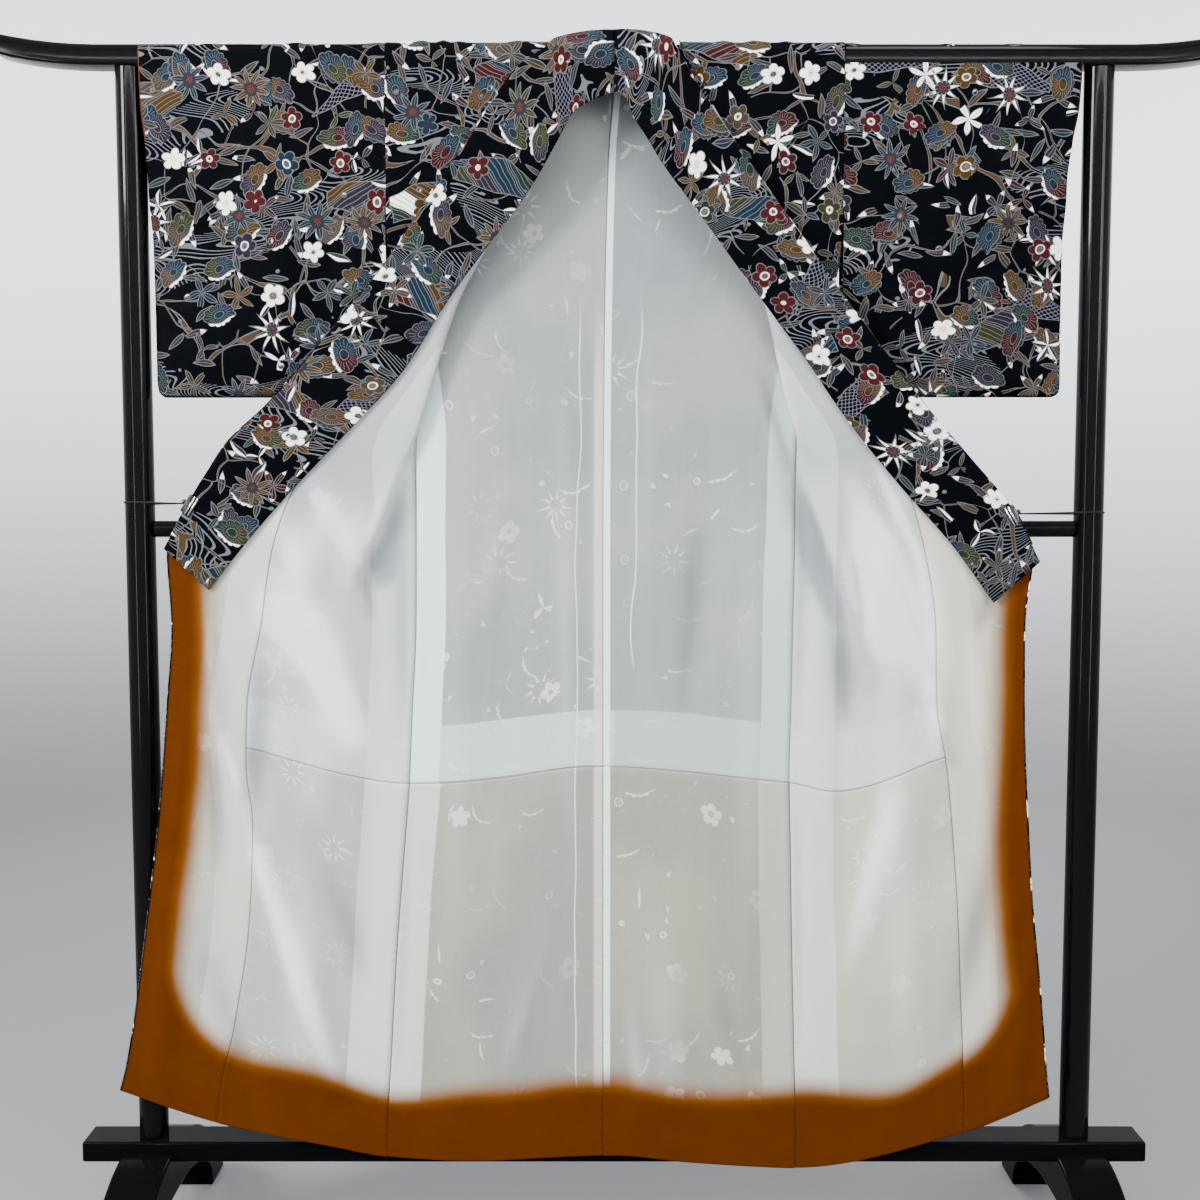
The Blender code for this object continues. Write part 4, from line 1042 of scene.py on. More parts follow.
def make_backdrop_paper():
    """Pale studio paper, a little darker towards the floor and to the low left as painted shade; it
    glows as painted light, most on the wall behind and above.
    """
    mat, finish, shader = new_finish("backdrop_paper", Roughness=0.9, Specular_IOR_Level=0.1,
                                     Emission_Strength=1.0)
    place = finish.spot()
    x, y, z = finish.split(place)
    # Painted shade: the paper's colour darkens towards the floor, and on the left low down
    pale = finish.mix(z.ease(-0.3, 2.2), (0.150, 0.150, 0.153), (0.80, 0.82, 0.84))
    painted_shade_low_left = x.ease(-2.6, 1.2, 0.50, 0.0) * z.ease(0.2, 2.0, 1.0, 0.0)
    finish.feed(shader.inputs["Base Color"], finish.tint(painted_shade_low_left, pale, (0.50, 0.51, 0.53)))
    # Painted light: the paper glows, faint at the floor, dimmer up high and on the camera's side
    painted_glow = finish.mix(z.ease(-0.2, 2.6), (0.02, 0.02, 0.02), (0.98, 1.03, 1.12))
    front = y.ease(-1.6, 1.2, 1.0, 0.0)
    painted_glow = finish.mix(z.ease(1.9, 3.4) * 0.42, painted_glow, (0.25, 0.25, 0.26))
    painted_glow = finish.mix(front, painted_glow, (0.12, 0.12, 0.13))
    finish.feed(shader.inputs["Emission Color"], painted_glow)
    return mat


# Reading the cut of the cloth
def smooth_value(table, place, column):
    """Reads one column of a table along a curve that is smooth and never swings past a row."""
    rows = table if table[0][0] < table[-1][0] else table[::-1]
    if place <= rows[0][0]:
        return rows[0][column]
    if place >= rows[-1][0]:
        return rows[-1][column]
    i = next(k for k in range(len(rows) - 1) if place <= rows[k + 1][0])
    slopes = []
    for k in (i - 1, i, i + 1):
        if 0 <= k < len(rows) - 1:
            run = rows[k + 1][0] - rows[k][0]
            slopes.append((rows[k + 1][column] - rows[k][column]) / run)
        else:
            slopes.append(None)
    before, here, after = slopes
    start = here if before is None else gentle_slope(before, here)
    end = here if after is None else gentle_slope(here, after)
    run = rows[i + 1][0] - rows[i][0]
    t = (place - rows[i][0]) / run
    return ((1 + 2 * t) * (1 - t) ** 2 * rows[i][column] + t * (1 - t) ** 2 * run * start
            + t * t * (3 - 2 * t) * rows[i + 1][column] + t * t * (t - 1) * run * end)


def gentle_slope(one, two):
    if one * two <= 0:
        return 0.0
    return 2 * one * two / (one + two)


def spaced_along(table):
    """A collar's rows against the share of its length, measured along the middle of the band."""
    middles = [Vector(((row[0] + row[2]) / 2, (row[1] + row[3]) / 2)) for row in table]
    gone = [0.0]
    for one, two in zip(middles, middles[1:]):
        gone.append(gone[-1] + (two - one).length)
    return tuple((far / gone[-1], *row) for far, row in zip(gone, table))


def hang(height, out):
    """Depth and height of a cloth that hangs in front of the rail and runs over it.

    Past the rail's crown the height is counted on along the cloth, over it and down the back."""
    crown_z = RAIL_TOP - RAIL_CROWN
    crown_y = RAIL_DEPTH / 2 - RAIL_CROWN
    radius = RAIL_CROWN + out
    quarter = radius * math.pi / 2
    along = height - crown_z
    if along <= 0:
        return -crown_y - radius, height
    if along <= quarter:
        turn = along / radius
        return -crown_y - radius * math.cos(turn), crown_z + radius * math.sin(turn)
    along -= quarter
    if along <= 2 * crown_y:
        return -crown_y + along, crown_z + radius
    along -= 2 * crown_y
    if along <= quarter:
        turn = along / radius
        return crown_y + radius * math.sin(turn), crown_z + radius * math.cos(turn)
    return crown_y + radius, crown_z - (along - quarter)


def top_of_cloth(out=REST):
    """Counted-on height of the middle of the rail's top."""
    return RAIL_TOP - RAIL_CROWN + (RAIL_CROWN + out) * math.pi / 2 + RAIL_DEPTH / 2 - RAIL_CROWN


def crease_depth(x, z, creases):
    """How far the soft troughs and ridges push the cloth away from the viewer at a place."""
    push = 0.0
    for x0, z0, x1, z1, width, ridge in creases:
        if not min(x0, x1) - 4 * width < x < max(x0, x1) + 4 * width:
            continue
        run = Vector((x1 - x0, z1 - z0))
        away = Vector((x - x0, z - z0))
        t = away.dot(run) / run.length_squared
        if -0.25 < t < 1.25:
            near = (away - run * min(1.0, max(0.0, t))).length / width
            ends = math.sin(math.pi * (t + 0.25) / 1.5) ** 1.3
            push -= ridge * math.exp(-near * near) * ends
    return push


def hung(point):
    """Lifts a low point by the hem's rise, and lays the creases into it."""
    fade = min(1.0, max(0.0, (HEM_FADE - point.z) / (HEM_FADE - HEM)))
    z = point.z + smooth_value(HEM_RISE, point.x, 1) * fade
    push = crease_depth(point.x, z, CREASES) + crease_depth(point.x, z, FOLDS)
    return Vector((point.x, point.y + push, z))


def ruffled(spot):
    """Small bumps where the cloth is bunched on top of the rail."""
    share = min(1.0, max(0.0, (spot.z - RAIL_TOP + 0.012) / 0.012))
    lift = sum(rise * math.exp(-((spot.x - x) / width) ** 2) for x, width, rise in BUMPS)
    return Vector((spot.x, spot.y, spot.z + lift * share))


def back_place(side, across, height):
    """A place on a back panel: across is 0 at the side seam and 1 at the centre back."""
    if height > BACK[0][0]:
        depth, z = hang(height, REST)
        end = 0.0
        if z > RAIL_TOP - NECK_DIP:
            end = NECK_X
        elif z > RAIL_TOP - RAIL_CROWN:
            end = NECK_X * (z - RAIL_TOP + RAIL_CROWN) / (RAIL_CROWN - NECK_DIP)
        x = SHOULDER_X + (end - SHOULDER_X) * across
        return ruffled(Vector((side * x, -depth, z)))
    reach = smooth_value(BACK, height, 2 if side < 0 else 3)
    depth = smooth_value(BACK, height, 1)
    x = side * reach * (1 - across) + smooth_value(CENTRE_SEAM, height, 1) * across
    return hung(Vector((x, depth, height)))


def front_place(side, table, across, height):
    """A place on a front panel: across is 0 at the side seam and 1 at the inner seam."""
    if height > table[0][0]:
        turn = max(0.0, across * 1.6 - 0.6) * math.pi / 2
        share = min(1.0, across * 1.6)
        x = SHOULDER_X + (NECK_X + STAND_UP - SHOULDER_X) * share
        out = REST + STAND_UP * (1 - math.cos(turn))
        depth, z = hang(height, out)
        return ruffled(Vector((side * (x - STAND_UP * math.sin(turn)), depth, z)))
    fold, seam, radius, soft, side_y, fold_y, seam_y = (
        smooth_value(table, height, column) for column in range(1, 8))
    reach = smooth_value(BACK, height, 2 if side < 0 else 3)
    start = Vector((reach, side_y, 0))
    corner = Vector((fold, fold_y, 0))
    end = Vector((seam, seam_y, 0))
    there = (corner - start).normalized()
    back = (end - corner).normalized()
    bend = (1 - there.dot(back)) / 2
    handle = SOFT_HANDLE + (HAIRPIN_HANDLE - SOFT_HANDLE) * bend ** 2
    into_reach = min(soft, (corner - start).length * 0.45)
    into = corner - there * into_reach + Vector((0, radius, 0))
    away = corner + back * soft - Vector((0, radius, 0))
    if across < 0.40:
        place = start.lerp(into, across / 0.40)
    elif across < 0.62:
        t = (across - 0.40) / 0.22
        rise = into + there * into_reach * handle
        fall = away - back * soft * handle
        place = (into * (1 - t) ** 3 + rise * 3 * t * (1 - t) ** 2
                 + fall * 3 * t ** 2 * (1 - t) + away * t ** 3)
    else:
        place = away.lerp(end, (across - 0.62) / 0.38)
    return hung(Vector((side * place.x, place.y, height)))


def overlap_place(side, table, edge, across, height):
    """A place on an overlap panel: across is 0 at its inner seam and 1 at the front edge."""
    seam = Vector((smooth_value(table, height, 2), smooth_value(table, height, 7), height))
    rim = Vector((smooth_value(edge, height, 1), smooth_value(edge, height, 2), height))
    place = seam.lerp(rim, across)
    return hung(Vector((side * place.x, place.y, place.z)))


def collar_place(side, table, across, along):
    """A place on the collar band: across is 0 at the seam and 1 at the free edge."""
    seam_x, seam_z, free_x, free_z = (smooth_value(table, along, c) for c in range(1, 5))
    x = seam_x + (free_x - seam_x) * across
    height = seam_z + (free_z - seam_z) * across
    out = -COLLAR_DEPTH - RAIL_DEPTH / 2
    out *= min(1.0, COLLAR_NECK_SHARE + x / NECK_X * (1 - COLLAR_NECK_SHARE))
    depth, z = hang(height, out)
    over = min(1.0, max(0.0, (z - RAIL_TOP) / 0.012))
    peak = NECK_PEAK * max(0.0, 1.0 - x / NECK_PEAK_REACH)
    sink = NECK_SINK * min(1.0, x / NECK_PEAK_REACH)
    return Vector((side * x, depth, z + (peak - sink) * over))


def sleeve_place(side, ends, around, along):
    """A place on a sleeve: around runs from the rail's top down the front, then up the back."""
    half = around * 2 if around <= 0.5 else 2 - around * 2
    face = 1 if around <= 0.5 else -1
    top = top_of_cloth()
    height = top - (top - SLEEVE_BOTTOM) * half
    pinch = max(0.0, along * 2 - 1) ** 1.5
    if height > SLEEVE_ROWS[0][0]:
        depth, z = hang(height, REST)
        depth = -depth
    else:
        inside = smooth_value(SLEEVE_ROWS, height, 1)
        sewn = smooth_value(SLEEVE_ROWS, height, 2)
        depth = inside + (sewn - inside) * pinch
        z = height
        if height < SLEEVE_ROWS[-1][0]:
            part = (SLEEVE_ROWS[-1][0] - height) / (SLEEVE_ROWS[-1][0] - SLEEVE_BOTTOM)
            depth *= math.sqrt(max(0.0, 1.0 - part * part))
    inner = SHOULDER_X + SEAM if z >= ARM_SEAM_END else SLEEVE_OPEN_X
    reach = smooth_value(ends, z, 1)
    x = inner + (reach - inner) * along
    corner = max(0.0, x - (reach - SLEEVE_CORNER))
    lift = SLEEVE_CORNER - math.sqrt(max(0.0, SLEEVE_CORNER ** 2 - corner ** 2))
    low = max(0.0, 1.0 - (z - SLEEVE_BOTTOM) / (2 * SLEEVE_CORNER))
    z += lift * low
    calm = min(1.0, max(0.0, (1.655 - z) / 0.05)) * min(1.0, (1 - along) / 0.2)
    push = crease_depth(side * x, z, SLEEVE_CREASES) * calm
    return ruffled(Vector((side * x, -face * depth + push, z)))


# Making cloth
def lift_and_painted_shine_of(spot):
    """How far a crease lifts the lining off the print, painted shines and shades added: 1 for a tall
    ridge, -1 for a deep trough.
    """
    push = sum(crease_depth(spot.x, spot.z, table) for table in (CREASES, FOLDS, PAINTED_SHINES_AND_SHADES))
    return min(1.0, max(-1.0, -push / LIFTED))


def crowded(t, share=0.80):
    """Spaces a run of columns so that they lie close together near both edges."""
    return t - share * math.sin(2 * math.pi * t) / (2 * math.pi)


def piece_of(name, bm, mat):
    mesh = bpy.data.meshes.new(name)
    bm.to_mesh(mesh)
    bm.free()
    mesh.shade_smooth()
    mesh.materials.append(mat)
    thing = bpy.data.objects.new(name, mesh)
    bpy.context.scene.collection.objects.link(thing)
    return thing


def cloth_normals(places):
    """Unit normals of a grid of places, from each one's neighbours."""
    rows = len(places) - 1
    columns = len(places[0]) - 1
    normals = []
    for i in range(rows + 1):
        line = []
        for j in range(columns + 1):
            across = places[i][min(j + 1, columns)] - places[i][max(j - 1, 0)]
            down = places[min(i + 1, rows)][j] - places[max(i - 1, 0)][j]
            line.append(across.cross(down).normalized())
        normals.append(line)
    return normals


def lay_cloth(name, place, columns, rows, face, out, wall, mat, offset=(0.0, 0.0),
              from_edge=None, from_hem=None, grooves=(True, True), roll_side=0.0, roll_hem=0.0,
              length=(0.0, 1.0), cross_seams=(False, False), groove=KISE):
    """A sheet of cloth from an even grid: place(across, down) is where each point hangs.

    face says which side of the sheet shows. The points lie out from the seam surface on that
    side, sewn edges dip into a groove, and free edges roll over by a radius."""
    count_x = columns + (6 if roll_side else 0)
    count_y = rows + (6 if roll_hem else 0)
    bm = bmesh.new()
    lift = bm.verts.layers.float.new("lift")
    bmesh.ops.create_grid(bm, x_segments=count_x, y_segments=count_y, size=0.5)
    bm.verts.ensure_lookup_table()
    flat = [[None] * (count_x + 1) for _ in range(count_y + 1)]
    for vert in bm.verts:
        j = round((vert.co.x + 0.5) * count_x)
        i = round((0.5 - vert.co.y) * count_y)
        flat[i][j] = vert
    downs = [i / rows for i in range(rows + 1)]
    if cross_seams[0] or cross_seams[1]:
        downs = [crowded(t, 0.75) for t in downs]
    base = [[place(crowded(j / columns), t) for j in range(columns + 1)] for t in downs]
    drops = [abs(length[1] - length[0]) * t for t in downs]
    normals = cloth_normals(base)
    arcs = []
    for line in base:
        arc = [0.0]
        for one, two in zip(line, line[1:]):
            arc.append(arc[-1] + (two - one).length)
        arcs.append(arc)
    maps = {key: bm.loops.layers.uv.new(key) for key in ("cloth", "bands", "border")}
    facts = {}
    for i in range(count_y + 1):
        a = min(i, rows)
        for j in range(count_x + 1):
            b = min(j, columns)
            total = arcs[a][-1]
            near = min(arcs[a][b] if grooves[0] else 1.0, total - arcs[a][b] if grooves[1] else 1.0)
            dip = groove * max(0.0, 1.0 - near / KISE_WIDTH) ** 2
            if cross_seams[0]:
                dip = max(dip, KISE * max(0.0, 1.0 - drops[a] / KISE_WIDTH) ** 2)
            if cross_seams[1]:
                dip = max(dip, KISE * max(0.0, 1.0 - (drops[-1] - drops[a]) / KISE_WIDTH) ** 2)
            normal = normals[a][b] * face
            spot = base[a][b] + normal * (out - dip)
            if i > rows:
                down = (base[rows][b] - base[rows - 1][b]).normalized()
                turn = math.pi * (i - rows) / 6
                spot += down * roll_hem * math.sin(turn) - normal * roll_hem * (1 - math.cos(turn))
            if j > columns:
                beyond = (base[a][columns] - base[a][columns - 1]).normalized()
                turn = math.pi * (j - columns) / 6
                spot += beyond * roll_side * math.sin(turn) - normal * roll_side * (1 - math.cos(turn))
            flat[i][j].co = spot
            # the stored lift sets the lining's painted highlight on ridges and painted shade in troughs
            flat[i][j][lift] = lift_and_painted_shine_of(base[a][b])
            height = length[0] + (length[1] - length[0]) * downs[a]
            extra = roll_side * math.pi * (j - b) / 6
            facts[flat[i][j]] = (
                (offset[0] + arcs[a][b] + extra, offset[1] + height),
                (arcs[a][b] - extra, total - arcs[a][b]),
                ((from_edge(downs[a]) if from_edge else 1.0) + total - arcs[a][b] - extra,
                 height - from_hem if from_hem is not None else 1.0),
            )
    for one in bm.faces:
        for loop in one.loops:
            for layer, value in zip(maps.values(), facts[loop.vert]):
                loop[layer].uv = value
    middle = flat[rows // 2][columns // 2]
    middle.normal_update()
    if middle.normal.dot(normals[rows // 2][columns // 2] * face) < 0:
        bmesh.ops.reverse_faces(bm, faces=bm.faces)
    thing = piece_of(name, bm, mat)
    body = thing.modifiers.new("wall", "SOLIDIFY")
    body.thickness = wall
    body.offset = -1.0
    return thing


def hand_over(thing, nodes):
    """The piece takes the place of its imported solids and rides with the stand."""
    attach(thing, "root")
    if nodes:
        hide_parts(*nodes)


def skirt_seam(x):
    return smooth_value(SKIRT_SEAM, x, 1)


def make_back_panel(name, side, silk, lining, skirt):
    top = top_of_cloth() - SEAM / 2

    def outer(across, down):
        return back_place(side, across, top + (HEM - top) * down)

    def seam_height(across):
        reach = smooth_value(BACK, SKIRT_TOP, 2 if side < 0 else 3)
        return skirt_seam(side * reach * (1 - across))

    def upper(across, down):
        low = seam_height(across)
        return back_place(side, across, LINING_TOP + (low + SEAM - LINING_TOP) * down)

    def lower(across, down):
        high = seam_height(across)
        return back_place(side, across, high + (HEM - high) * down)

    piece = lay_cloth("back_panel_" + name, outer, 44, 150, -side, SILK_OUT, SILK, silk,
                      (0.13 * side, 0.0), length=(top, HEM), groove=KISE_OUTSIDE)
    hand_over(piece, ["back_" + name])
    piece = lay_cloth("back_lining_cloth_" + name, upper, 44, 90, side, LINING_OUT, LINING_SILK,
                      lining, (0.13 * side, 0.0), from_hem=SKIRT_TOP, length=(LINING_TOP, SKIRT_TOP),
                      cross_seams=(False, True))
    hand_over(piece, ["back_lining_" + name])
    piece = lay_cloth("back_skirt_cloth_" + name, lower, 44, 60, side, LINING_OUT, LINING_SILK,
                      skirt, (0.13 * side, 0.0), from_hem=HEM, roll_hem=EDGE_ROLL,
                      length=(SKIRT_TOP, HEM), cross_seams=(True, False))
    hand_over(piece, ["back_skirt_lining_" + name])


def make_front_panel(name, side, table, edge, silk, lining, skirt):
    top = top_of_cloth() - SEAM / 2

    def outer(across, down):
        return front_place(side, table, across, top + (HEM - top) * down)

    def seam_height(across):
        at = front_place(side, table, across, SKIRT_TOP)
        return skirt_seam(at.x)

    def upper(across, down):
        low = seam_height(across)
        height = FRONT_LINING_TOP + (low + SEAM - FRONT_LINING_TOP) * down
        return front_place(side, table, across, height)

    def lower(across, down):
        high = seam_height(across)
        return front_place(side, table, across, high + (HEM - high) * down)

    def past_overlap(down):
        height = SKIRT_TOP + (HEM - SKIRT_TOP) * down
        return smooth_value(edge, height, 1) - smooth_value(table, height, 2)

    piece = lay_cloth("front_panel_" + name, outer, 48, 170, side, SILK_OUT, SILK, silk,
                      (0.53 * side, 0.31), length=(top, HEM), groove=KISE_OUTSIDE)
    hand_over(piece, ["front_" + name])
    piece = lay_cloth("front_lining_cloth_" + name, upper, 48, 100, -side, LINING_OUT, LINING_SILK,
                      lining, (0.53 * side, 0.31), from_hem=SKIRT_TOP, cross_seams=(False, True),
                      length=(FRONT_LINING_TOP, SKIRT_TOP))
    hand_over(piece, ["front_lining_" + name])
    piece = lay_cloth("front_skirt_cloth_" + name, lower, 48, 60, -side, LINING_OUT, LINING_SILK,
                      skirt, (0.53 * side, 0.31), from_edge=past_overlap, from_hem=HEM,
                      roll_hem=EDGE_ROLL, length=(SKIRT_TOP, HEM), cross_seams=(True, False))
    hand_over(piece, ["front_skirt_lining_" + name])


def make_overlap_panel(name, side, table, edge, silk, skirt):
    top = edge[0][0]

    def outer(across, down):
        return overlap_place(side, table, edge, across, top + (HEM - top) * down)

    piece = lay_cloth("overlap_panel_" + name, outer, 24, 130, side, SILK_OUT, SILK, silk,
                      (0.97 * side, 0.77), grooves=(True, False), roll_side=FRONT_EDGE_ROLL,
                      length=(top, HEM), groove=KISE_OUTSIDE)
    hand_over(piece, ["overlap_" + name])
    piece = lay_cloth("overlap_lining_cloth_" + name, outer, 24, 130, -side, LINING_OUT, LINING_SILK,
                      skirt, (0.97 * side, 0.77), grooves=(True, False), from_edge=lambda down: 0.0,
                      from_hem=HEM, roll_hem=EDGE_ROLL, length=(top, HEM))
    hand_over(piece, ["overlap_lining_" + name])


def make_collar_band(name, side, table, silk):
    def band(across, down):
        return collar_place(side, table, across, down)

    def cover(across, down):
        return collar_place(side, table, across, down * COVER_SHARE)

    table = spaced_along(table)
    piece = lay_cloth("collar_band_" + name, band, 26, 150, side, COLLAR_THICK / 2, COLLAR_THICK,
                      silk, (1.31 * side, 0.0), length=(COLLAR_LENGTH, 0.0))
    hand_over(piece, ["collar_" + name])
    piece = lay_cloth("collar_cover_" + name, cover, 26, 100, side, COLLAR_THICK / 2 + COVER_THICK,
                      COVER_THICK * 0.8, silk, (1.61 * side, 0.4),
                      length=(COLLAR_LENGTH * COVER_SHARE, 0.0))
    hand_over(piece, ["over_collar_" + name])


def make_sleeve_bag(name, side, ends, silk):
    def bag(across, down):
        return sleeve_place(side, ends, down, across)

    piece = lay_cloth("sleeve_bag_" + name, bag, 60, 190, side, SLEEVE_OUT, SILK, silk,
                      (2.1 * side, 0.0), grooves=(True, False), length=(0.98, 0.0))
    hand_over(piece, ["sleeve_" + name])


# The stand
def rail_outline(steps=10):
    half = RAIL_DEPTH / 2
    bottom = RAIL_TOP - RAIL_HEIGHT
    corners = (
        (half - RAIL_CROWN, RAIL_TOP - RAIL_CROWN, RAIL_CROWN, 0),
        (RAIL_CROWN - half, RAIL_TOP - RAIL_CROWN, RAIL_CROWN, 90),
        (RAIL_FOOT - half, bottom + RAIL_FOOT, RAIL_FOOT, 180),
        (half - RAIL_FOOT, bottom + RAIL_FOOT, RAIL_FOOT, 270),
    )
    points = []
    for depth, height, radius, first in corners:
        for i in range(steps + 1):
            turn = math.radians(first + 90 * i / steps)
            points.append((depth + radius * math.cos(turn), height + radius * math.sin(turn)))
    return points


def make_top_rail(lacquer):
    """The rail is drawn out of its end outline, and its tips turn up."""
    bm = bmesh.new()
    ring = [bm.verts.new((-RAIL_HALF_LENGTH, y, z)) for y, z in rail_outline()]
    cap = bm.faces.new(ring)
    steps = 60
    lengths = [(i / steps) * 2 - 1 for i in range(1, steps + 1)]
    edges = list(cap.edges)
    for share in lengths:
        made = bmesh.ops.extrude_edge_only(bm, edges=edges)["geom"]
        verts = [g for g in made if isinstance(g, bmesh.types.BMVert)]
        for vert in verts:
            vert.co.x = RAIL_HALF_LENGTH * share
        edges = [g for g in made if isinstance(g, bmesh.types.BMEdge)]
    bmesh.ops.holes_fill(bm, edges=edges, sides=0)
    for vert in bm.verts:
        x = vert.co.x
        part = max(0.0, (abs(x) - RAIL_TURN_START) / (RAIL_HALF_LENGTH - RAIL_TURN_START))
        slant = RAIL_TIP_SLANT * (RAIL_TOP - vert.co.z) / RAIL_HEIGHT * part ** 8
        vert.co.x = math.copysign(abs(x) - slant, x)
        vert.co.z += RAIL_TURN_UP * part ** 2
    bmesh.ops.recalc_face_normals(bm, faces=bm.faces)
    thing = piece_of("top_rail", bm, lacquer)
    soften(thing, 0.0016, 40)
    hand_over(thing, ["rail"])


def draw_out(bm, outline, length):
    """Draws a flat outline out to a solid along X."""
    flat = bm.faces.new([bm.verts.new(place) for place in outline])
    made = bmesh.ops.extrude_face_region(bm, geom=[flat])["geom"]
    moved = [g for g in made if isinstance(g, bmesh.types.BMVert)]
    bmesh.ops.translate(bm, verts=moved, vec=(length, 0, 0))


def soften(thing, width, angle=30, segments=3):
    """Rounds off the hard edges of a piece of the stand."""
    edge = thing.modifiers.new("rounded", "BEVEL")
    edge.width = width
    edge.segments = segments
    edge.limit_method = "ANGLE"
    edge.angle_limit = math.radians(angle)
    thing.data.set_sharp_from_angle(angle=math.radians(60))


def round_bar(name, radius, start, end, lacquer, sides=64):
    axis = Vector(end) - Vector(start)
    bm = bmesh.new()
    bmesh.ops.create_cone(bm, cap_ends=True, segments=sides, radius1=radius, radius2=radius,
                          depth=axis.length)
    bmesh.ops.rotate(bm, verts=bm.verts, matrix=axis.to_track_quat("Z", "Y").to_matrix())
    bmesh.ops.translate(bm, verts=bm.verts, vec=(Vector(start) + Vector(end)) / 2)
    bmesh.ops.recalc_face_normals(bm, faces=bm.faces)
    thing = piece_of(name, bm, lacquer)
    soften(thing, 0.0008, 40, 2)
    return thing


def make_beam(lacquer):
    bm = bmesh.new()
    bmesh.ops.create_cube(bm, size=1.0)
    bmesh.ops.scale(bm, verts=bm.verts, vec=(BEAM_LENGTH, BEAM_DEPTH, BEAM_HEIGHT))
    bmesh.ops.translate(bm, verts=bm.verts, vec=(0, 0, BEAM_TOP - BEAM_HEIGHT / 2))
    thing = piece_of("beam", bm, lacquer)
    soften(thing, 0.0035, 30, 4)
    hand_over(thing, ["base_beam"])


def foot_outline():
    arch = [(-FOOT_HALF_SPAN, 0.0)]
    steps = 30
    notch = BEAM_DEPTH / 2 + TOUCH
    shoulder = BEAM_TOP - BEAM_HEIGHT - TOUCH
    for i in range(1, steps + 1):
        part = i / steps
        y = -FOOT_HALF_SPAN + (FOOT_HALF_SPAN - notch) * part
        arch.append((y, FOOT_CROWN * math.sin(part * math.pi / 2) ** 0.75))
    arch.append((-notch, shoulder))
    arch += [(-y, z) for y, z in reversed(arch)]
    inner = FOOT_HALF_SPAN - FOOT_PAD
    for i in range(37):
        turn = math.pi * i / 36
        low = FOOT_ARCH * math.sin(turn) ** 0.8 if 0 < i < 36 else 0.0
        arch.append((inner * math.cos(turn), low))
    return arch


def make_arched_foot(name, x, lacquer):
    bm = bmesh.new()
    draw_out(bm, [(x - FOOT_WIDTH / 2, y, z) for y, z in foot_outline()], FOOT_WIDTH)
    bmesh.ops.recalc_face_normals(bm, faces=bm.faces)
    thing = piece_of("arched_" + name, bm, lacquer)
    soften(thing, 0.0030, 50, 3)
    hand_over(thing, [name])


def make_stand(lacquer, dull_lacquer):
    make_top_rail(lacquer)
    post_top = RAIL_TOP - RAIL_HEIGHT - TOUCH
    for name, side in (("left", -1), ("right", 1)):
        x = side * POST_X
        post = round_bar("round_post_" + name, POST_RADIUS, (x, 0, BEAM_TOP + TOUCH), (x, 0, post_top),
                         lacquer)
        hand_over(post, ["post_" + name])
        make_arched_foot("foot_" + name, x, dull_lacquer)
    reach = POST_X - POST_RADIUS - TOUCH
    bar = round_bar("round_mid_rail", MID_RAIL_RADIUS, (-reach, 0, MID_RAIL_Z), (reach, 0, MID_RAIL_Z),
                    lacquer, 48)
    hand_over(bar, ["mid_rail"])
    make_beam(dull_lacquer)


# Clips and threads
def make_spring_clip(name, steel):
    """Two flat jaws bent from one strip, with a bead on each long edge of the front jaw."""
    side, reach, height, tilt = CLIPS[name]
    bm = bmesh.new()
    rod = bm.verts.layers.float.new("rod")
    section = (
        (CLIP_GRIP, CLIP_FRONT), (-CLIP_CLEAR, CLIP_FRONT), (-CLIP_CLEAR, CLIP_BACK),
        (CLIP_GRIP, CLIP_BACK), (CLIP_GRIP, CLIP_BACK + CLIP_BAR),
        (-CLIP_CLEAR - CLIP_BAR, CLIP_BACK + CLIP_BAR),
        (-CLIP_CLEAR - CLIP_BAR, CLIP_FRONT - CLIP_BAR), (CLIP_GRIP, CLIP_FRONT - CLIP_BAR),
    )
    draw_out(bm, [(-CLIP_LENGTH / 2, depth, -inward) for inward, depth in section], CLIP_LENGTH)
    bmesh.ops.bevel(bm, geom=bm.edges[:], offset=0.0003, segments=2, profile=0.5, affect="EDGES",
                    material=-1)
    for low in (0.0050, 0.0095):
        bar = bmesh.ops.create_cone(bm, cap_ends=True, segments=20, radius1=0.0011, radius2=0.0011,
                                    depth=CLIP_LENGTH + 0.002)["verts"]
        bmesh.ops.rotate(bm, verts=bar, matrix=Vector((1, 0, 0)).to_track_quat("Z", "Y").to_matrix())
        bmesh.ops.translate(bm, verts=bar, vec=(0, CLIP_FRONT - CLIP_BAR - 0.0003, -low))
        for vert in bar:
            vert[rod] = 1.0
    ball = bmesh.ops.create_uvsphere(bm, u_segments=20, v_segments=12, radius=0.0036)["verts"]
    bmesh.ops.translate(bm, verts=ball, vec=(0, (CLIP_FRONT + CLIP_BACK) / 2,
                                             CLIP_CLEAR + CLIP_BAR + 0.0018))
    turn = math.radians(tilt)
    for vert in bm.verts:
        x, y, z = vert.co
        vert.co = (side * (reach + x * math.cos(turn) + z * math.sin(turn)), y,
                   height - x * math.sin(turn) + z * math.cos(turn))
    bmesh.ops.recalc_face_normals(bm, faces=bm.faces)
    thing = piece_of("spring_clip_" + name, bm, steel)
    hand_over(thing, ["clip_" + name])


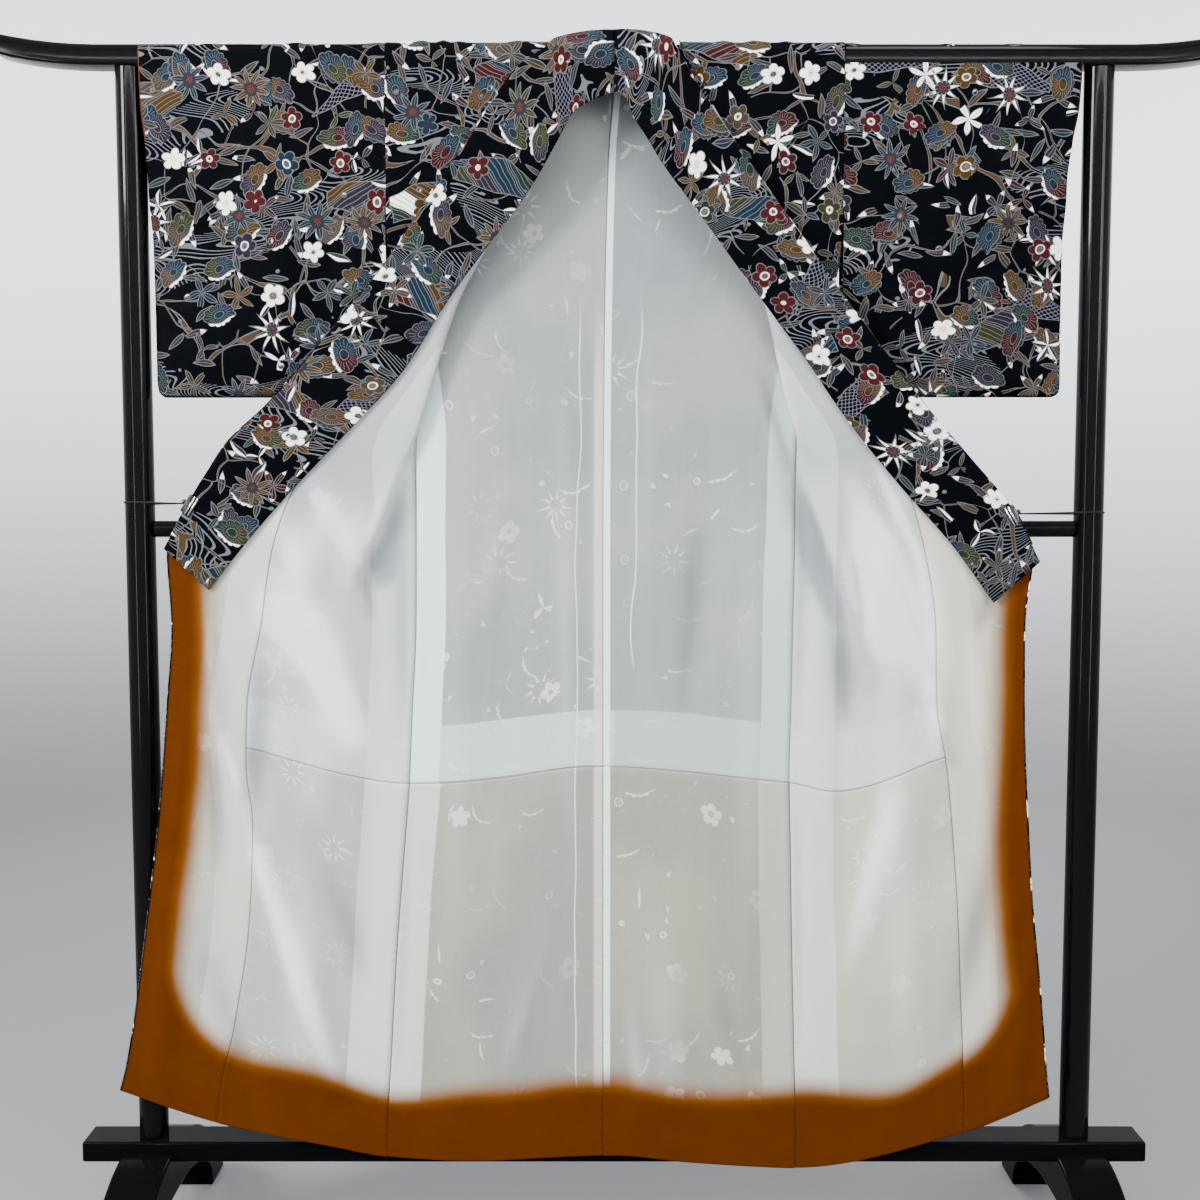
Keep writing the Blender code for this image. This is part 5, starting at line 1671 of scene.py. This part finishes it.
def make_thread(name, mat):
    """A loop of thread from the clip's bead round the post and back."""
    side, reach, height, tilt = CLIPS[name]
    slant = math.radians(tilt)
    start_x = reach + (CLIP_CLEAR + CLIP_BAR + SEAM) / math.sin(slant) + LOOP_DROP / math.tan(slant)
    depth = (CLIP_FRONT + CLIP_BACK) / 2
    around = POST_RADIUS + THREAD + SEAM
    towards = math.atan2(depth, start_x - POST_X)
    spread = math.acos(around / math.hypot(depth, start_x - POST_X))
    first = towards + spread
    sweep = 2 * math.pi - 2 * spread
    route = [Vector((start_x, depth, height))]
    for i in range(41):
        part = i / 40
        turn = first + sweep * part
        route.append(Vector((POST_X + around * math.cos(turn), around * math.sin(turn),
                             height + LOOP_DROP * (0.5 - part))))
    route.append(Vector((start_x, depth, height)))
    curve = bpy.data.curves.new("looped_thread_" + name, "CURVE")
    curve.dimensions = "3D"
    curve.bevel_depth = THREAD * STRANDS_WIDE
    curve.bevel_resolution = 3
    curve.use_fill_caps = True
    line = curve.splines.new("POLY")
    line.points.add(len(route) - 1)
    for point, spot in zip(line.points, route):
        point.co = (side * spot.x, spot.y, spot.z, 1.0)
    curve.materials.append(mat)
    thing = bpy.data.objects.new("looped_thread_" + name, curve)
    bpy.context.scene.collection.objects.link(thing)
    hand_over(thing, ["tie_" + name])


def make_backdrop():
    """A wide round bowl of paper: flat floor, curved foot and an upright wall."""
    bm = bmesh.new()
    profile = [(0.0, 0.0), (1.5, 0.0), (FLOOR_REACH, 0.0)]
    for i in range(1, 13):
        turn = math.radians(90 * i / 12)
        profile.append((FLOOR_REACH + BOWL_CURVE * math.sin(turn), BOWL_CURVE * (1 - math.cos(turn))))
    profile.append((FLOOR_REACH + BOWL_CURVE, WALL_TOP))
    verts = [bm.verts.new((reach, 0, z - 0.0005)) for reach, z in profile]
    edges = [bm.edges.new(pair) for pair in zip(verts, verts[1:])]
    bmesh.ops.spin(bm, geom=verts + edges, cent=(0, 0, 0), axis=(0, 0, 1), angle=2 * math.pi,
                   steps=96, use_merge=True)
    bmesh.ops.remove_doubles(bm, verts=bm.verts, dist=0.0005)
    bmesh.ops.recalc_face_normals(bm, faces=bm.faces)
    bmesh.ops.reverse_faces(bm, faces=bm.faces)
    thing = piece_of("studio_paper", bm, make_backdrop_paper())


def build():
    set_camera()
    light_studio()
    make_backdrop()
    ghosts = make_print_group("print_seen_through", False)
    komon_print = make_print_group("komon_print", True)
    silk = make_komon_silk(komon_print)
    sleeve_silk = make_komon_silk(komon_print, wrist=True)
    lacquer = make_lacquer("black_lacquer_finish", 0.09)
    dull_lacquer = make_lacquer("dull_lacquer_finish", 0.012)
    linings = {
        "back_upper": make_lining_finish("back_lining_finish", ghosts, SILVER, CLEAR, (0.042, 0.0),
                                         top_band=0.080, centre=True, shade=True, shadow_side=1),
        "back_skirt": make_lining_finish("back_skirt_finish", ghosts, WARM_GREY, CREAM, (0.044, 0.0),
                                         border=True, centre=True, shadow_side=1),
        "front_upper": make_lining_finish("front_lining_finish", ghosts, PEARL, MIST, (0.062, 0.0),
                                          top_band=0.080, shade=True, shadow_side=-1),
        "front_skirt": make_lining_finish("front_skirt_finish", ghosts, SOFT_GREY, CREAM, (0.062, 0.0),
                                          border=True, shadow_side=-1),
        "overlap": make_lining_finish("overlap_lining_finish", ghosts, SOFT_GREY, MILK, (0.052, 0.0),
                                      border=True),
    }
    for name, side, front, edge, collar, ends in (
            ("left", -1, FRONT_LEFT, OVERLAP_EDGE_LEFT, COLLAR_LEFT, SLEEVE_END_LEFT),
            ("right", 1, FRONT_RIGHT, OVERLAP_EDGE_RIGHT, COLLAR_RIGHT, SLEEVE_END_RIGHT)):
        make_spring_clip(name, STEEL)
        make_thread(name, THREAD_FINISH)
        make_back_panel(name, side, silk, linings["back_upper"], linings["back_skirt"])
        make_front_panel(name, side, front, edge, silk, linings["front_upper"], linings["front_skirt"])
        make_overlap_panel(name, side, front, edge, silk, linings["overlap"])
        make_collar_band(name, side, collar, silk)
        make_sleeve_bag(name, side, ends, sleeve_silk)
    make_stand(lacquer, dull_lacquer)


STEEL = make_steel()
THREAD_FINISH = make_thread_finish()
build()
